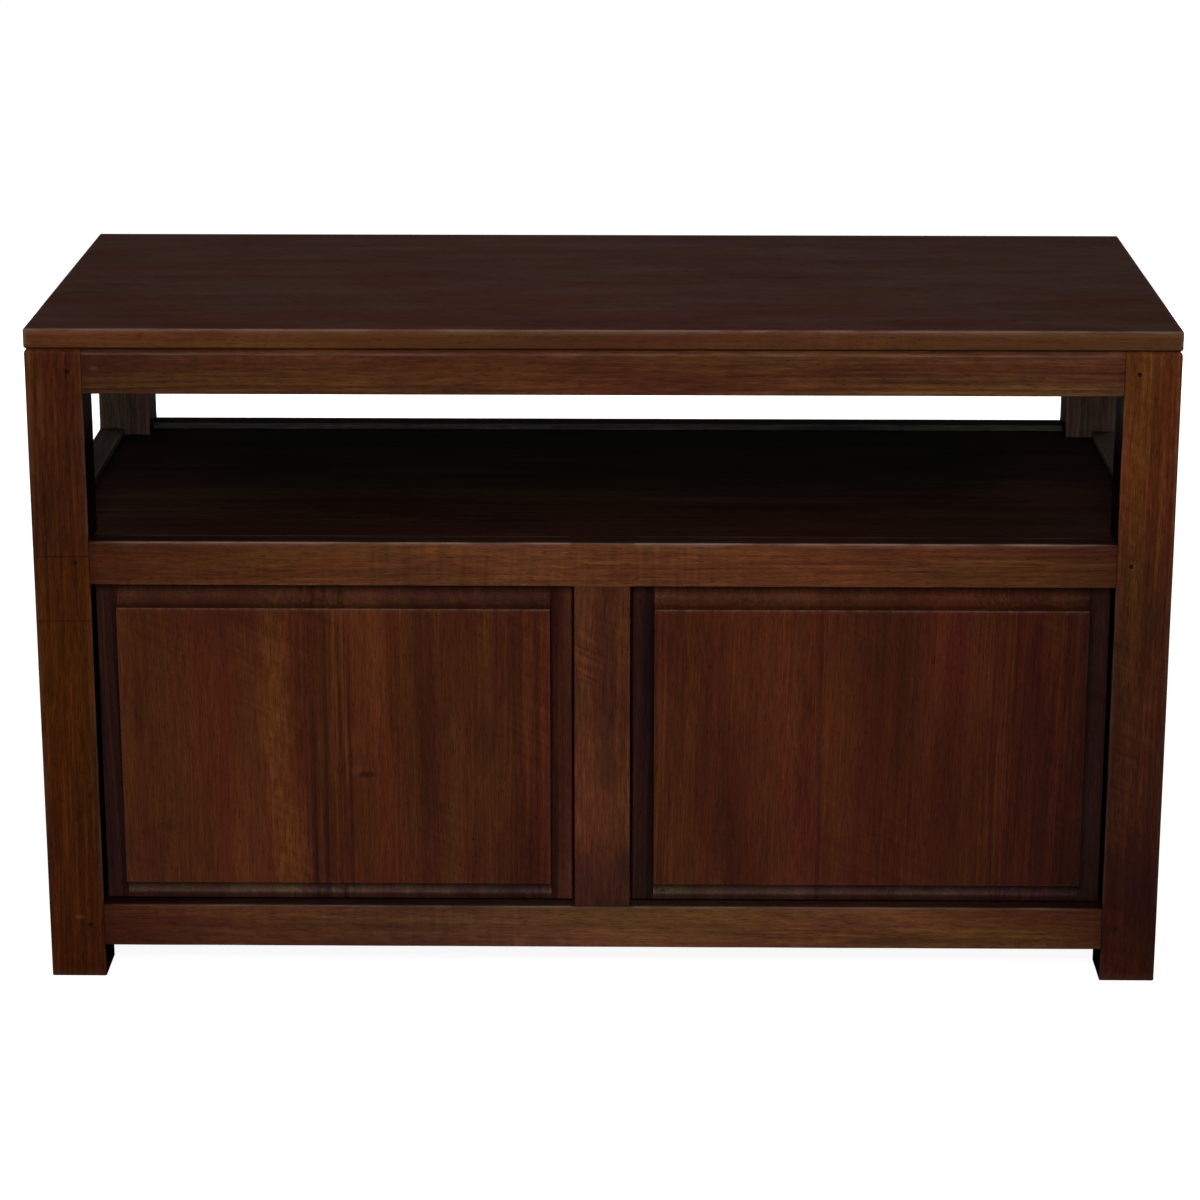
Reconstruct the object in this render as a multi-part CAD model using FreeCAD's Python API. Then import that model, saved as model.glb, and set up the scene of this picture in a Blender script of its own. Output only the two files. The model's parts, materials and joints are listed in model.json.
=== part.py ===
import FreeCAD
import Part

import math
import os

V = FreeCAD.Vector
X_AXIS = V(1, 0, 0)
Y_AXIS = V(0, 1, 0)
Z_AXIS = V(0, 0, 1)

# Low television stand in solid wood: a pegged mortise-and-tenon frame carries the top,
# an open bay with a shelf runs right through under it, and two drawers with raised and
# fielded faces fill the space below. Millimetres, +Z up, front towards -Y, and the
# origin on the floor under the middle of the stand.

# Overall size
WIDTH = 1000.0
DEPTH = 450.0
HEIGHT = 600.0

# Frame sections
LEG = 50.0
RAIL_HEIGHT = 40.0
RAIL_THICKNESS = 24.0
TOP_THICKNESS = 18.0
FOOT_CLEARANCE = 30.0
DRAWER_OPENING_HEIGHT = 300.0
FRAME_EASE = 1.5
FOOT_CHAMFER = 1.0
TOP_EASE = 2.0
TOP_GROOVE = 3.0

# Mortise-and-tenon joints and their pegs
TENON_LENGTH = 28.0
TENON_THICKNESS = 10.0
TENON_SHOULDER = 10.0
MULLION_TENON_LENGTH = 20.0
MULLION_TENON_SHOULDER = 5.0
PEG_RADIUS = 1.75
PEG_LENGTH = 22.0
PEG_FROM_JOINT = 13.0

# Panels and shelf
SIDE_PANEL_THICKNESS = 10.0
SIDE_PANEL_RECESS = 10.0
REAR_PANEL_THICKNESS = 6.0
REAR_PANEL_RECESS = 10.0
PANEL_GROOVE = 8.0
SHELF_THICKNESS = 16.0
SHELF_DROP = 1.0
SHELF_GAP = 0.5
LIP_HEIGHT = 6.0

# Drawer guidance
LEDGE = 25.0
RUNNER_THICKNESS = 18.0
GUIDE_HEIGHT = 15.0
GUIDE_SETBACK = 1.0
TONGUE_LENGTH = 6.0
TONGUE_SHOULDER = 4.0
KICKER_LEDGE = 14.0
STOP_WIDTH = 18.0
STOP_HEIGHT = 14.0
STOP_GAP = 0.5

# Drawer boxes
SIDE_CLEARANCE = 1.0
RUNNING_CLEARANCE = 0.5
BOX_HEIGHT = 291.5
BOX_REAR_ROOM = 25.0
BOX_SIDE = 12.0
BOX_FRONT = 14.0
BOX_BACK = 12.0
BOX_BOTTOM = 6.0
BOTTOM_RAISE = 10.0
BOTTOM_GROOVE = 6.0
TAIL_COUNT = 5
TAIL_SHARE_WIDE = 0.76
TAIL_SHARE_NARROW = 0.64

# Raised and fielded drawer faces
FACE_GAP = 2.0
FACE_THICKNESS = 22.0
LIP_THICKNESS = 9.0
LIP_FLAT = 3.0
MARGIN = 19.0
SHOULDER = 2.0
FIELD_EASE = 1.0

# Top cleats and countersunk screws
CLEAT = 20.0
CLEAT_LENGTH = 860.0
TOP_SCREWS_PER_CLEAT = 4
SCREW_RADIUS = 2.0
SCREW_HEAD_RADIUS = 4.0
SCREW_HEAD_HEIGHT = 2.6
SCREW_POINT_LENGTH = 5.0
SCREW_POINT_RADIUS = 0.4
TOP_SCREW_LENGTH = 32.0
FACE_SCREW_LENGTH = 28.0
FACE_SCREW_SPREAD = 0.6
FACE_SCREW_LEVELS = (0.2, 0.8)
ROD_FLATS = 8

# Derived places
HALF_WIDTH = WIDTH / 2
HALF_DEPTH = DEPTH / 2
LEG_INNER_X = HALF_WIDTH - LEG
LEG_INNER_Y = HALF_DEPTH - LEG
RAIL_INNER_X = HALF_WIDTH - RAIL_THICKNESS
RAIL_INNER_Y = HALF_DEPTH - RAIL_THICKNESS
TENON_INSET = (RAIL_THICKNESS - TENON_THICKNESS) / 2
FRAME_TOP = HEIGHT - TOP_THICKNESS
BOTTOM_RAIL_Z = FOOT_CLEARANCE
RUNNER_Z = BOTTOM_RAIL_Z + RAIL_HEIGHT
MIDDLE_RAIL_Z = RUNNER_Z + DRAWER_OPENING_HEIGHT
TOP_RAIL_Z = FRAME_TOP - RAIL_HEIGHT
SHELF_TOP = MIDDLE_RAIL_Z + RAIL_HEIGHT - SHELF_DROP
SHELF_UNDERSIDE = SHELF_TOP - SHELF_THICKNESS
LIP_RAIL_Z = SHELF_TOP + LIP_HEIGHT - RAIL_HEIGHT
OPENING_WIDTH = (WIDTH - 3 * LEG) / 2
OPENING_CENTRE = (LEG + OPENING_WIDTH) / 2
BOX_Y_FRONT = -HALF_DEPTH + FACE_THICKNESS
BOX_Y_REAR = RAIL_INNER_Y - BOX_REAR_ROOM
BOX_Z = RUNNER_Z + RUNNING_CLEARANCE
BOX_TOP = BOX_Z + BOX_HEIGHT
BOTTOM_Z = BOX_Z + BOTTOM_RAISE
BACK_Z = BOTTOM_Z + BOX_BOTTOM

LEFT = -1
RIGHT = 1
FRONT = -1
REAR = 1
TOUCHING = 1e-6
SIDE_NAMES = {LEFT: "left", RIGHT: "right"}
END_NAMES = {FRONT: "front", REAR: "rear"}


def block(x_span, y_span, z_span):
    """A plain board between the given limits, in either order."""
    spans = (x_span, y_span, z_span)
    low = V(*[min(span) for span in spans])
    size = [max(span) - min(span) for span in spans]
    return Part.makeBox(*size, low)


def edges_along(shape, axis):
    """The straight edges of a shape that run along an axis."""
    found = []
    for edge in shape.Edges:
        run = edge.Vertexes[-1].Point - edge.Vertexes[0].Point
        if run.Length > 0 and run.cross(axis).Length < TOUCHING * run.Length:
            found.append(edge)
    return found


def eased_block(x_span, y_span, z_span, grain, radius=FRAME_EASE):
    """A board whose long arrises, those along the grain, are rounded over."""
    board = block(x_span, y_span, z_span)
    return board.makeFillet(radius, edges_along(board, grain))


def polygon_face(corners):
    """A flat face on the given corners."""
    return Part.Face(Part.makePolygon(corners + [corners[0]]))


def housed(board, fillers):
    """A board with a mortise, groove or hole cut for every piece that it takes."""
    return board.cut(fillers).removeSplitter()


def faceted_rod(place, direction, sections):
    """A rod with eight flats from place along direction, through (distance, radius) sections."""
    turn = FreeCAD.Placement(place, FreeCAD.Rotation(Z_AXIS, direction))
    angles = [2 * math.pi * (flat + 0.5) / ROD_FLATS for flat in range(ROD_FLATS)]
    rings = []
    for distance, radius in sections:
        points = [V(radius * math.cos(angle), radius * math.sin(angle), distance) for angle in angles]
        rings.append([turn.multVec(point) for point in points])
    faces = [polygon_face(rings[0]), polygon_face(rings[-1])]
    for near, far in zip(rings, rings[1:]):
        for flat in range(ROD_FLATS):
            after = (flat + 1) % ROD_FLATS
            faces.append(polygon_face([near[flat], near[after], far[after], far[flat]]))
    return Part.makeSolid(Part.makeShell(faces))


def cross_rail(end, low):
    """A front or rear rail between the legs, with a tenon on each end."""
    y_outer = end * HALF_DEPTH
    y_inner = end * RAIL_INNER_Y
    body = eased_block((-LEG_INNER_X, LEG_INNER_X), (y_outer, y_inner), (low, low + RAIL_HEIGHT), X_AXIS)
    reach = LEG_INNER_X + TENON_LENGTH
    tenon_y = end * (HALF_DEPTH - TENON_INSET)
    tenon = block(
        (-reach, reach),
        (tenon_y, tenon_y - end * TENON_THICKNESS),
        (low + TENON_SHOULDER, low + RAIL_HEIGHT - TENON_SHOULDER),
    )
    return body.fuse(tenon).removeSplitter()


def side_rail(side, low):
    """A rail between the front and rear legs of one side, with a tenon on each end."""
    x_outer = side * HALF_WIDTH
    x_inner = side * RAIL_INNER_X
    body = eased_block((x_outer, x_inner), (-LEG_INNER_Y, LEG_INNER_Y), (low, low + RAIL_HEIGHT), Y_AXIS)
    reach = LEG_INNER_Y + TENON_LENGTH
    tenon_x = side * (HALF_WIDTH - TENON_INSET)
    tenon = block(
        (tenon_x, tenon_x - side * TENON_THICKNESS),
        (-reach, reach),
        (low + TENON_SHOULDER, low + RAIL_HEIGHT - TENON_SHOULDER),
    )
    return body.fuse(tenon).removeSplitter()


def front_mullion():
    """The upright between the drawers, tenoned into the rails above and below."""
    half = LEG / 2
    y_span = (-HALF_DEPTH, -RAIL_INNER_Y)
    body = eased_block((-half, half), y_span, (RUNNER_Z, MIDDLE_RAIL_Z), Z_AXIS)
    tenon_half = half - MULLION_TENON_SHOULDER
    tenon_y = -HALF_DEPTH + TENON_INSET
    tenon = block(
        (-tenon_half, tenon_half),
        (tenon_y, tenon_y + TENON_THICKNESS),
        (RUNNER_Z - MULLION_TENON_LENGTH, MIDDLE_RAIL_Z + MULLION_TENON_LENGTH),
    )
    return body.fuse(tenon).removeSplitter()


def side_panel(side):
    """The solid panel below the bay, held in grooves of the legs and side rails."""
    x_outer = side * (HALF_WIDTH - SIDE_PANEL_RECESS)
    reach = LEG_INNER_Y + PANEL_GROOVE
    return block(
        (x_outer, x_outer - side * SIDE_PANEL_THICKNESS),
        (-reach, reach),
        (RUNNER_Z - PANEL_GROOVE, LIP_RAIL_Z + PANEL_GROOVE),
    )


def rear_panel():
    """The thin back below the bay, held in grooves of the rear legs and rails."""
    y_outer = HALF_DEPTH - REAR_PANEL_RECESS
    reach = LEG_INNER_X + PANEL_GROOVE
    return block(
        (-reach, reach),
        (y_outer, y_outer - REAR_PANEL_THICKNESS),
        (RUNNER_Z - PANEL_GROOVE, LIP_RAIL_Z + PANEL_GROOVE),
    )


def leg_post(side, end):
    """A square leg with eased arrises and a chamfered foot, before its mortises are cut."""
    x_span = (side * LEG_INNER_X, side * HALF_WIDTH)
    y_span = (end * LEG_INNER_Y, end * HALF_DEPTH)
    post = eased_block(x_span, y_span, (0, FRAME_TOP), Z_AXIS)
    foot = [edge for edge in post.Edges if abs(edge.BoundBox.ZMax) < TOUCHING]
    return post.makeChamfer(FOOT_CHAMFER, foot)


def table_top():
    """The top: its upper arris is rounded, and its bevelled lower one leaves a groove over the frame."""
    slab = block((-HALF_WIDTH, HALF_WIDTH), (-HALF_DEPTH, HALF_DEPTH), (FRAME_TOP, HEIGHT))
    lower = [edge for edge in slab.Edges if edge.BoundBox.ZMax < FRAME_TOP + TOUCHING]
    slab = slab.makeChamfer(TOP_GROOVE, lower)
    upper = [edge for edge in slab.Edges if edge.BoundBox.ZMin > HEIGHT - TOUCHING]
    return slab.makeFillet(TOP_EASE, upper)


def shelf():
    """The bay's shelf, notched round the legs."""
    half_x = RAIL_INNER_X - SHELF_GAP
    half_y = RAIL_INNER_Y - SHELF_GAP
    board = block((-half_x, half_x), (-half_y, half_y), (SHELF_UNDERSIDE, SHELF_TOP))
    for side in (LEFT, RIGHT):
        for end in (FRONT, REAR):
            notch = block(
                (side * (LEG_INNER_X - SHELF_GAP), side * HALF_WIDTH),
                (end * (LEG_INNER_Y - SHELF_GAP), end * HALF_DEPTH),
                (SHELF_UNDERSIDE, SHELF_TOP),
            )
            board = board.cut(notch)
    return board


def outer_strip(side, ledge, z_span, tongue_span):
    """A strip along one side of the drawer space, notched round the legs, tongued into the rails."""
    x_inner = side * (LEG_INNER_X - ledge)
    between_legs = block((side * RAIL_INNER_X, x_inner), (-LEG_INNER_Y, LEG_INNER_Y), z_span)
    full_run = block((side * LEG_INNER_X, x_inner), (-RAIL_INNER_Y, RAIL_INNER_Y), z_span)
    reach = RAIL_INNER_Y + TONGUE_LENGTH
    tongue = block((side * LEG_INNER_X, x_inner), (-reach, reach), tongue_span)
    return between_legs.fuse([full_run, tongue]).removeSplitter()


def centre_strip(ledge, z_span, tongue_span):
    """A strip behind the mullion that serves both drawers, tongued into the rails."""
    half = LEG / 2 + ledge
    full_run = block((-half, half), (-RAIL_INNER_Y, RAIL_INNER_Y), z_span)
    reach = RAIL_INNER_Y + TONGUE_LENGTH
    tongue = block((-half, half), (-reach, reach), tongue_span)
    return full_run.fuse(tongue).removeSplitter()


def drawer_runners():
    """The ledges that the drawer sides slide on, level with the bottom rail."""
    z_span = (RUNNER_Z - RUNNER_THICKNESS, RUNNER_Z)
    tongue_span = (z_span[0] + TONGUE_SHOULDER, z_span[1] - TONGUE_SHOULDER)
    return {
        "left_runner": outer_strip(LEFT, LEDGE, z_span, tongue_span),
        "centre_runner": centre_strip(LEDGE, z_span, tongue_span),
        "right_runner": outer_strip(RIGHT, LEDGE, z_span, tongue_span),
    }


def drawer_guides():
    """The strips on the runners that keep the drawers straight."""
    z_span = (RUNNER_Z, RUNNER_Z + GUIDE_HEIGHT)
    guides = {}
    for side in (LEFT, RIGHT):
        x_span = (side * RAIL_INNER_X, side * (LEG_INNER_X + GUIDE_SETBACK))
        guides[f"{SIDE_NAMES[side]}_guide"] = block(x_span, (-LEG_INNER_Y, LEG_INNER_Y), z_span)
    half = LEG / 2 - GUIDE_SETBACK
    guides["centre_guide"] = block((-half, half), (-RAIL_INNER_Y, RAIL_INNER_Y), z_span)
    return guides


def drawer_kickers():
    """The strips under the shelf that carry it and stop an open drawer from tipping."""
    z_span = (MIDDLE_RAIL_Z, SHELF_UNDERSIDE)
    tongue_low = LIP_RAIL_Z + TONGUE_SHOULDER
    tongue_span = (tongue_low, SHELF_UNDERSIDE - TONGUE_SHOULDER)
    return {
        "left_kicker": outer_strip(LEFT, KICKER_LEDGE, z_span, tongue_span),
        "centre_kicker": centre_strip(KICKER_LEDGE, z_span, tongue_span),
        "right_kicker": outer_strip(RIGHT, KICKER_LEDGE, z_span, tongue_span),
    }


def drawer_stops():
    """Blocks glued on the runners behind each drawer, which set how far it closes."""
    blocks = []
    for side in (LEFT, RIGHT):
        for x_wall, inward in ((LEG_INNER_X, -1), (LEG / 2, 1)):
            x_start = side * (x_wall + inward * SIDE_CLEARANCE)
            x_span = (x_start, x_start + side * inward * STOP_WIDTH)
            y_span = (BOX_Y_REAR + STOP_GAP, RAIL_INNER_Y)
            blocks.append(block(x_span, y_span, (RUNNER_Z, RUNNER_Z + STOP_HEIGHT)))
    return Part.makeCompound(blocks)


def tenon_pegs():
    """Whittled pegs that lock every rail's tenons, flush with the outside of the legs."""
    sections = [(0, PEG_RADIUS), (PEG_LENGTH, PEG_RADIUS)]
    pegs = []
    for side in (LEFT, RIGHT):
        for end in (FRONT, REAR):
            middle_z = MIDDLE_RAIL_Z if end == FRONT else LIP_RAIL_Z
            for low in (BOTTOM_RAIL_Z, middle_z, TOP_RAIL_Z):
                place = V(side * (LEG_INNER_X + PEG_FROM_JOINT), end * HALF_DEPTH, low + RAIL_HEIGHT / 2)
                pegs.append(faceted_rod(place, Y_AXIS * -end, sections))
            for low in (BOTTOM_RAIL_Z, LIP_RAIL_Z, TOP_RAIL_Z):
                place = V(side * HALF_WIDTH, end * (LEG_INNER_Y + PEG_FROM_JOINT), low + RAIL_HEIGHT / 2)
                pegs.append(faceted_rod(place, X_AXIS * -side, sections))
    return Part.makeCompound(pegs)


def countersunk_screw(place, direction, length):
    """A pointed countersunk screw whose head is flush at the given place."""
    sections = [
        (0, SCREW_HEAD_RADIUS),
        (SCREW_HEAD_HEIGHT, SCREW_RADIUS),
        (length - SCREW_POINT_LENGTH, SCREW_RADIUS),
        (length, SCREW_POINT_RADIUS),
    ]
    return faceted_rod(place, direction, sections)


def top_cleat(end):
    """A batten inside the front or rear top rail that the top is screwed to."""
    y_span = (end * RAIL_INNER_Y, end * (RAIL_INNER_Y - CLEAT))
    half = CLEAT_LENGTH / 2
    return eased_block((-half, half), y_span, (FRAME_TOP - CLEAT, FRAME_TOP), X_AXIS)


def top_screw_places():
    """Where the screws enter the cleats from below, evenly spaced."""
    spacing = CLEAT_LENGTH / TOP_SCREWS_PER_CLEAT
    first = (spacing - CLEAT_LENGTH) / 2
    return [
        V(first + number * spacing, end * (RAIL_INNER_Y - CLEAT / 2), FRAME_TOP - CLEAT)
        for end in (FRONT, REAR)
        for number in range(TOP_SCREWS_PER_CLEAT)
    ]


def coved_margin(half):
    """A cove that starts square with a narrow flat lip and rises to just under the field."""
    cove_rise = FACE_THICKNESS - SHOULDER - LIP_THICKNESS
    cove_run = MARGIN - LIP_FLAT
    cove_radius = (cove_run**2 + cove_rise**2) / (2 * cove_rise)
    cove_start = (half - LIP_FLAT, LIP_THICKNESS)
    cove_end = (half - MARGIN, FACE_THICKNESS - SHOULDER)
    middle_run = cove_run / 2
    middle_rise = cove_radius - (cove_radius**2 - middle_run**2) ** 0.5
    cove_middle = (half - LIP_FLAT - middle_run, LIP_THICKNESS + middle_rise)
    return [("line", (half, LIP_THICKNESS), cove_start), ("arc", cove_start, cove_middle, cove_end)]


def rebated_margin(half):
    """A flat rebate down to the lip over the whole width of the margin."""
    return [("line", (half, LIP_THICKNESS), (half - MARGIN, LIP_THICKNESS))]


def half_section(half, margin):
    """Half the section of a raised face, from the middle of its back to the middle of its field.

    Each point is (distance from the middle, height over the back). The given margin runs in
    from the edge, and a square shoulder with an eased arris lifts the field over it.
    """
    run_in = margin(half)
    ease_start = (half - MARGIN, FACE_THICKNESS - FIELD_EASE)
    ease_end = (half - MARGIN - FIELD_EASE, FACE_THICKNESS)
    bulge = FIELD_EASE * (1 - 0.5**0.5)
    ease_middle = (half - MARGIN - bulge, FACE_THICKNESS - bulge)
    return [
        ("line", (0, 0), (half, 0)),
        ("line", (half, 0), (half, LIP_THICKNESS)),
        *run_in,
        ("line", run_in[-1][-1], ease_start),
        ("arc", ease_start, ease_middle, ease_end),
        ("line", ease_end, (0, FACE_THICKNESS)),
    ]


def fielded_prism(half, margin, place, run):
    """The section of a raised face carried straight along run; place maps it into space."""
    edges = []
    for sign in (1, -1):
        for kind, *points in half_section(half, margin):
            corners = [place(sign * across, height) for across, height in points]
            curve = Part.Arc(*corners) if kind == "arc" else Part.LineSegment(*corners)
            edges.append(curve.toShape())
    outline = Part.Wire(Part.__sortEdges__(edges))
    return Part.Face(outline).extrude(run)


def drawer_face(side):
    """The raised face: coves along its top and bottom, stopped by a through rebate at each end."""
    centre_x = side * OPENING_CENTRE
    centre_z = RUNNER_Z + DRAWER_OPENING_HEIGHT / 2
    half_x = OPENING_WIDTH / 2 - FACE_GAP
    half_z = DRAWER_OPENING_HEIGHT / 2 - FACE_GAP
    upright = fielded_prism(
        half_x,
        rebated_margin,
        lambda across, height: V(centre_x + across, BOX_Y_FRONT - height, centre_z - half_z),
        V(0, 0, 2 * half_z),
    )
    level = fielded_prism(
        half_z,
        coved_margin,
        lambda across, height: V(centre_x - half_x, BOX_Y_FRONT - height, centre_z + across),
        V(2 * half_x, 0, 0),
    )
    return upright.common(level).removeSplitter()


def dovetail_pins(x_span, y_end, y_base, z_span):
    """The wood between the tails at one corner of a drawer box, wide side at y_base."""
    corner = block(x_span, (y_end, y_base), z_span)
    pitch = (z_span[1] - z_span[0]) / TAIL_COUNT
    thickness = V(max(x_span) - min(x_span), 0, 0)
    for number in range(TAIL_COUNT):
        middle = z_span[0] + (number + 0.5) * pitch
        wide = TAIL_SHARE_WIDE * pitch / 2
        narrow = TAIL_SHARE_NARROW * pitch / 2
        outline = [
            V(min(x_span), y_end, middle - wide),
            V(min(x_span), y_end, middle + wide),
            V(min(x_span), y_base, middle + narrow),
            V(min(x_span), y_base, middle - narrow),
        ]
        corner = corner.cut(polygon_face(outline).extrude(thickness))
    return corner


def drawer_box_side(x_outer, inward, bottom):
    """A drawer side with tails at both ends and a groove for the bottom."""
    x_span = (x_outer, x_outer + inward * BOX_SIDE)
    board = block(x_span, (BOX_Y_FRONT, BOX_Y_REAR), (BOX_Z, BOX_TOP))
    front_pins = dovetail_pins(x_span, BOX_Y_FRONT, BOX_Y_FRONT + BOX_FRONT, (BOX_Z, BOX_TOP))
    back_pins = dovetail_pins(x_span, BOX_Y_REAR, BOX_Y_REAR - BOX_BACK, (BACK_Z, BOX_TOP))
    return housed(board, [front_pins, back_pins, bottom])


def drawer(side):
    """One drawer: a dovetailed box with the fielded face screwed on from inside."""
    centre_x = side * OPENING_CENTRE
    half_box = OPENING_WIDTH / 2 - SIDE_CLEARANCE
    x_span = (centre_x - half_box, centre_x + half_box)
    bottom_half = half_box - BOX_SIDE + BOTTOM_GROOVE
    bottom = block(
        (centre_x - bottom_half, centre_x + bottom_half),
        (BOX_Y_FRONT + BOX_FRONT - BOTTOM_GROOVE, BOX_Y_REAR),
        (BOTTOM_Z, BACK_Z),
    )
    box_front_inside = BOX_Y_FRONT + BOX_FRONT
    left_side = drawer_box_side(x_span[0], 1, bottom)
    right_side = drawer_box_side(x_span[1], -1, bottom)
    box_front = block(x_span, (BOX_Y_FRONT, box_front_inside), (BOX_Z, BOX_TOP))
    back = block(x_span, (BOX_Y_REAR - BOX_BACK, BOX_Y_REAR), (BACK_Z, BOX_TOP))
    screw_places = [
        V(centre_x + across * FACE_SCREW_SPREAD * half_box, box_front_inside, BOX_Z + level * BOX_HEIGHT)
        for across in (-1, 1)
        for level in FACE_SCREW_LEVELS
    ]
    screws = [countersunk_screw(place, Y_AXIS * -1, FACE_SCREW_LENGTH) for place in screw_places]
    name = f"{SIDE_NAMES[side]}_drawer"
    return {
        f"{name}_face": housed(drawer_face(side), screws),
        f"{name}_box_front": housed(box_front, [left_side, right_side, bottom] + screws),
        f"{name}_left_side": left_side,
        f"{name}_right_side": right_side,
        f"{name}_back": housed(back, [left_side, right_side]),
        f"{name}_bottom": bottom,
        f"{name}_screws": Part.makeCompound(screws),
    }


def frame_and_panels():
    """The fixed frame: every mortise, groove and peg hole is cut by the piece that fills it."""
    pegs = tenon_pegs()
    mullion = front_mullion()
    runners = drawer_runners()
    kickers = drawer_kickers()
    back = rear_panel()
    cross = {}
    sides = {}
    panels = {}
    for end in (FRONT, REAR):
        middle_z = MIDDLE_RAIL_Z if end == FRONT else LIP_RAIL_Z
        levels = {"top": TOP_RAIL_Z, "middle": middle_z, "bottom": BOTTOM_RAIL_Z}
        for level, low in levels.items():
            cross[f"{END_NAMES[end]}_{level}_rail"] = cross_rail(end, low)
    for side in (LEFT, RIGHT):
        panels[f"{SIDE_NAMES[side]}_side_panel"] = side_panel(side)
        levels = {"top": TOP_RAIL_Z, "middle": LIP_RAIL_Z, "bottom": BOTTOM_RAIL_Z}
        for level, low in levels.items():
            sides[f"{SIDE_NAMES[side]}_{level}_rail"] = side_rail(side, low)
    parts = {}
    fillers = list(cross.values()) + list(sides.values()) + list(panels.values()) + [back, pegs]
    for side in (LEFT, RIGHT):
        for end in (FRONT, REAR):
            parts[f"{END_NAMES[end]}_{SIDE_NAMES[side]}_leg"] = housed(leg_post(side, end), fillers)
    rail_fillers = [mullion, back, pegs] + list(runners.values()) + list(kickers.values())
    for name, rail in cross.items():
        parts[name] = housed(rail, rail_fillers)
    for name, rail in sides.items():
        parts[name] = housed(rail, list(panels.values()) + [pegs])
    parts["front_mullion"] = mullion
    parts["rear_panel"] = back
    parts["tenon_pegs"] = pegs
    parts.update(panels)
    parts.update(runners)
    parts.update(kickers)
    return parts


def top_and_fixings():
    """The top with its cleats and the screws that hold it down."""
    screws = [countersunk_screw(place, Z_AXIS, TOP_SCREW_LENGTH) for place in top_screw_places()]
    parts = {"table_top": housed(table_top(), screws), "top_screws": Part.makeCompound(screws)}
    for end in (FRONT, REAR):
        parts[f"{END_NAMES[end]}_top_cleat"] = housed(top_cleat(end), screws)
    return parts


def main():
    """Builds every piece and writes one file for each."""
    parts = frame_and_panels()
    parts.update(top_and_fixings())
    parts["shelf"] = shelf()
    parts.update(drawer_guides())
    parts["drawer_stops"] = drawer_stops()
    for side in (LEFT, RIGHT):
        parts.update(drawer(side))
    os.makedirs("parts", exist_ok=True)
    for name, shape in sorted(parts.items()):
        shape.exportStep(os.path.join("parts", f"{name}.step"))
        print(f"{name}: {len(shape.Solids)} solid(s), valid {shape.isValid()}, {shape.Volume:.0f} mm3")


main()
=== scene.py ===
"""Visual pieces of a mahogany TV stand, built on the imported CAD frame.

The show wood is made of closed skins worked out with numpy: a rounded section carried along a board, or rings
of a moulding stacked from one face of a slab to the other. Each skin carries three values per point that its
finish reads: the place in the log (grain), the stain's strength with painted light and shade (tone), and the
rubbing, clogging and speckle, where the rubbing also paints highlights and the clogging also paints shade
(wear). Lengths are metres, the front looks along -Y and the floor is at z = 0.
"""

import itertools
import json
import logging
import math
from dataclasses import dataclass, field
from enum import Enum

import bpy
import numpy as np
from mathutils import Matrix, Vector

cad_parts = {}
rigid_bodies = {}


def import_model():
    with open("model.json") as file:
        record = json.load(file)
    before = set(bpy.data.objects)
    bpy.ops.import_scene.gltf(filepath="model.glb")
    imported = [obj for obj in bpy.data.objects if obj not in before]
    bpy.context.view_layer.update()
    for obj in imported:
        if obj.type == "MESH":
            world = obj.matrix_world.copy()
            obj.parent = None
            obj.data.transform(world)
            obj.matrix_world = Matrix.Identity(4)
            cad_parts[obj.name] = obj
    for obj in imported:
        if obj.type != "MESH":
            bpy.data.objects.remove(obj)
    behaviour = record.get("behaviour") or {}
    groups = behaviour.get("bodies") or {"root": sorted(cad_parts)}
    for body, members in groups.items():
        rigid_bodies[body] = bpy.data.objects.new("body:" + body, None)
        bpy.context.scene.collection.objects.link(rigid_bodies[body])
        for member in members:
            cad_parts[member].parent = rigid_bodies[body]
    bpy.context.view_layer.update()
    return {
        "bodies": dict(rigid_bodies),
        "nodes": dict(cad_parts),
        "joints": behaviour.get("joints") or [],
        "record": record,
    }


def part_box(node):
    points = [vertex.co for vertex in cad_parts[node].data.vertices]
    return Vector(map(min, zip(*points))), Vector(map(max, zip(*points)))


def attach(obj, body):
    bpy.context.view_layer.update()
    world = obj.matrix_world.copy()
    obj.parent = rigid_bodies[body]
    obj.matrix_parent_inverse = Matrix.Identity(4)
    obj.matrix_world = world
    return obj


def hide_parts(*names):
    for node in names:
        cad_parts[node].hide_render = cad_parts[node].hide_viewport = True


LOG = logging.getLogger("tv_stand")

Array = np.ndarray
Material = bpy.types.Material
Pair = tuple[float, float]
Triple = tuple[float, float, float]
ToneStops = tuple[tuple[float, Triple], ...]
Socket = bpy.types.NodeSocket
Value = Socket | float
Fed = dict[str | int, Value | tuple]

# Rounded sections: steps on half an arc, samples near each arris and the most of a side they take.
ARC_STEPS = 3
NEAR_ARRIS = np.array([0.0010, 0.0030, 0.0070])
NEAR_SHARE = 0.4
# Edges that turn by more than this are shaded sharp, and places closer than TOUCHING count as one.
SHARP_ANGLE = math.radians(38.0)
TOUCHING = 1e-5
PLACE_DECIMALS = 5
# Unevenness of hand work: how many waves are added up, and the range of their lengths.
RIPPLE_WAVES = 4
RIPPLE_LENGTHS = (0.07, 0.30)
# A board's place in the log: distance from the heart, slope of the grain, and shift along the log.
HEART_GAP = (0.05, 0.16)
RUN_OUT = (-0.02, 0.02)
LOG_SHIFT = (-4.0, 4.0)
# Numbers of the Mix node's two colour inputs and of its colour output.
MIX_FIRST, MIX_SECOND, MIX_RESULT = 6, 7, 2
EVEN_TONE: ToneStops = ((0.0, (1.0, 1.0, 1.0)),)


class Axis(Enum):
    """Direction in which a board's grain or a slab's thickness runs."""

    X = 0
    Y = 1
    Z = 2

    def columns(self) -> tuple[int, int, int]:
        """Columns of the two section directions and of the run, in right-handed order."""
        return ((self.value + 1) % 3, (self.value + 2) % 3, self.value)


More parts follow.
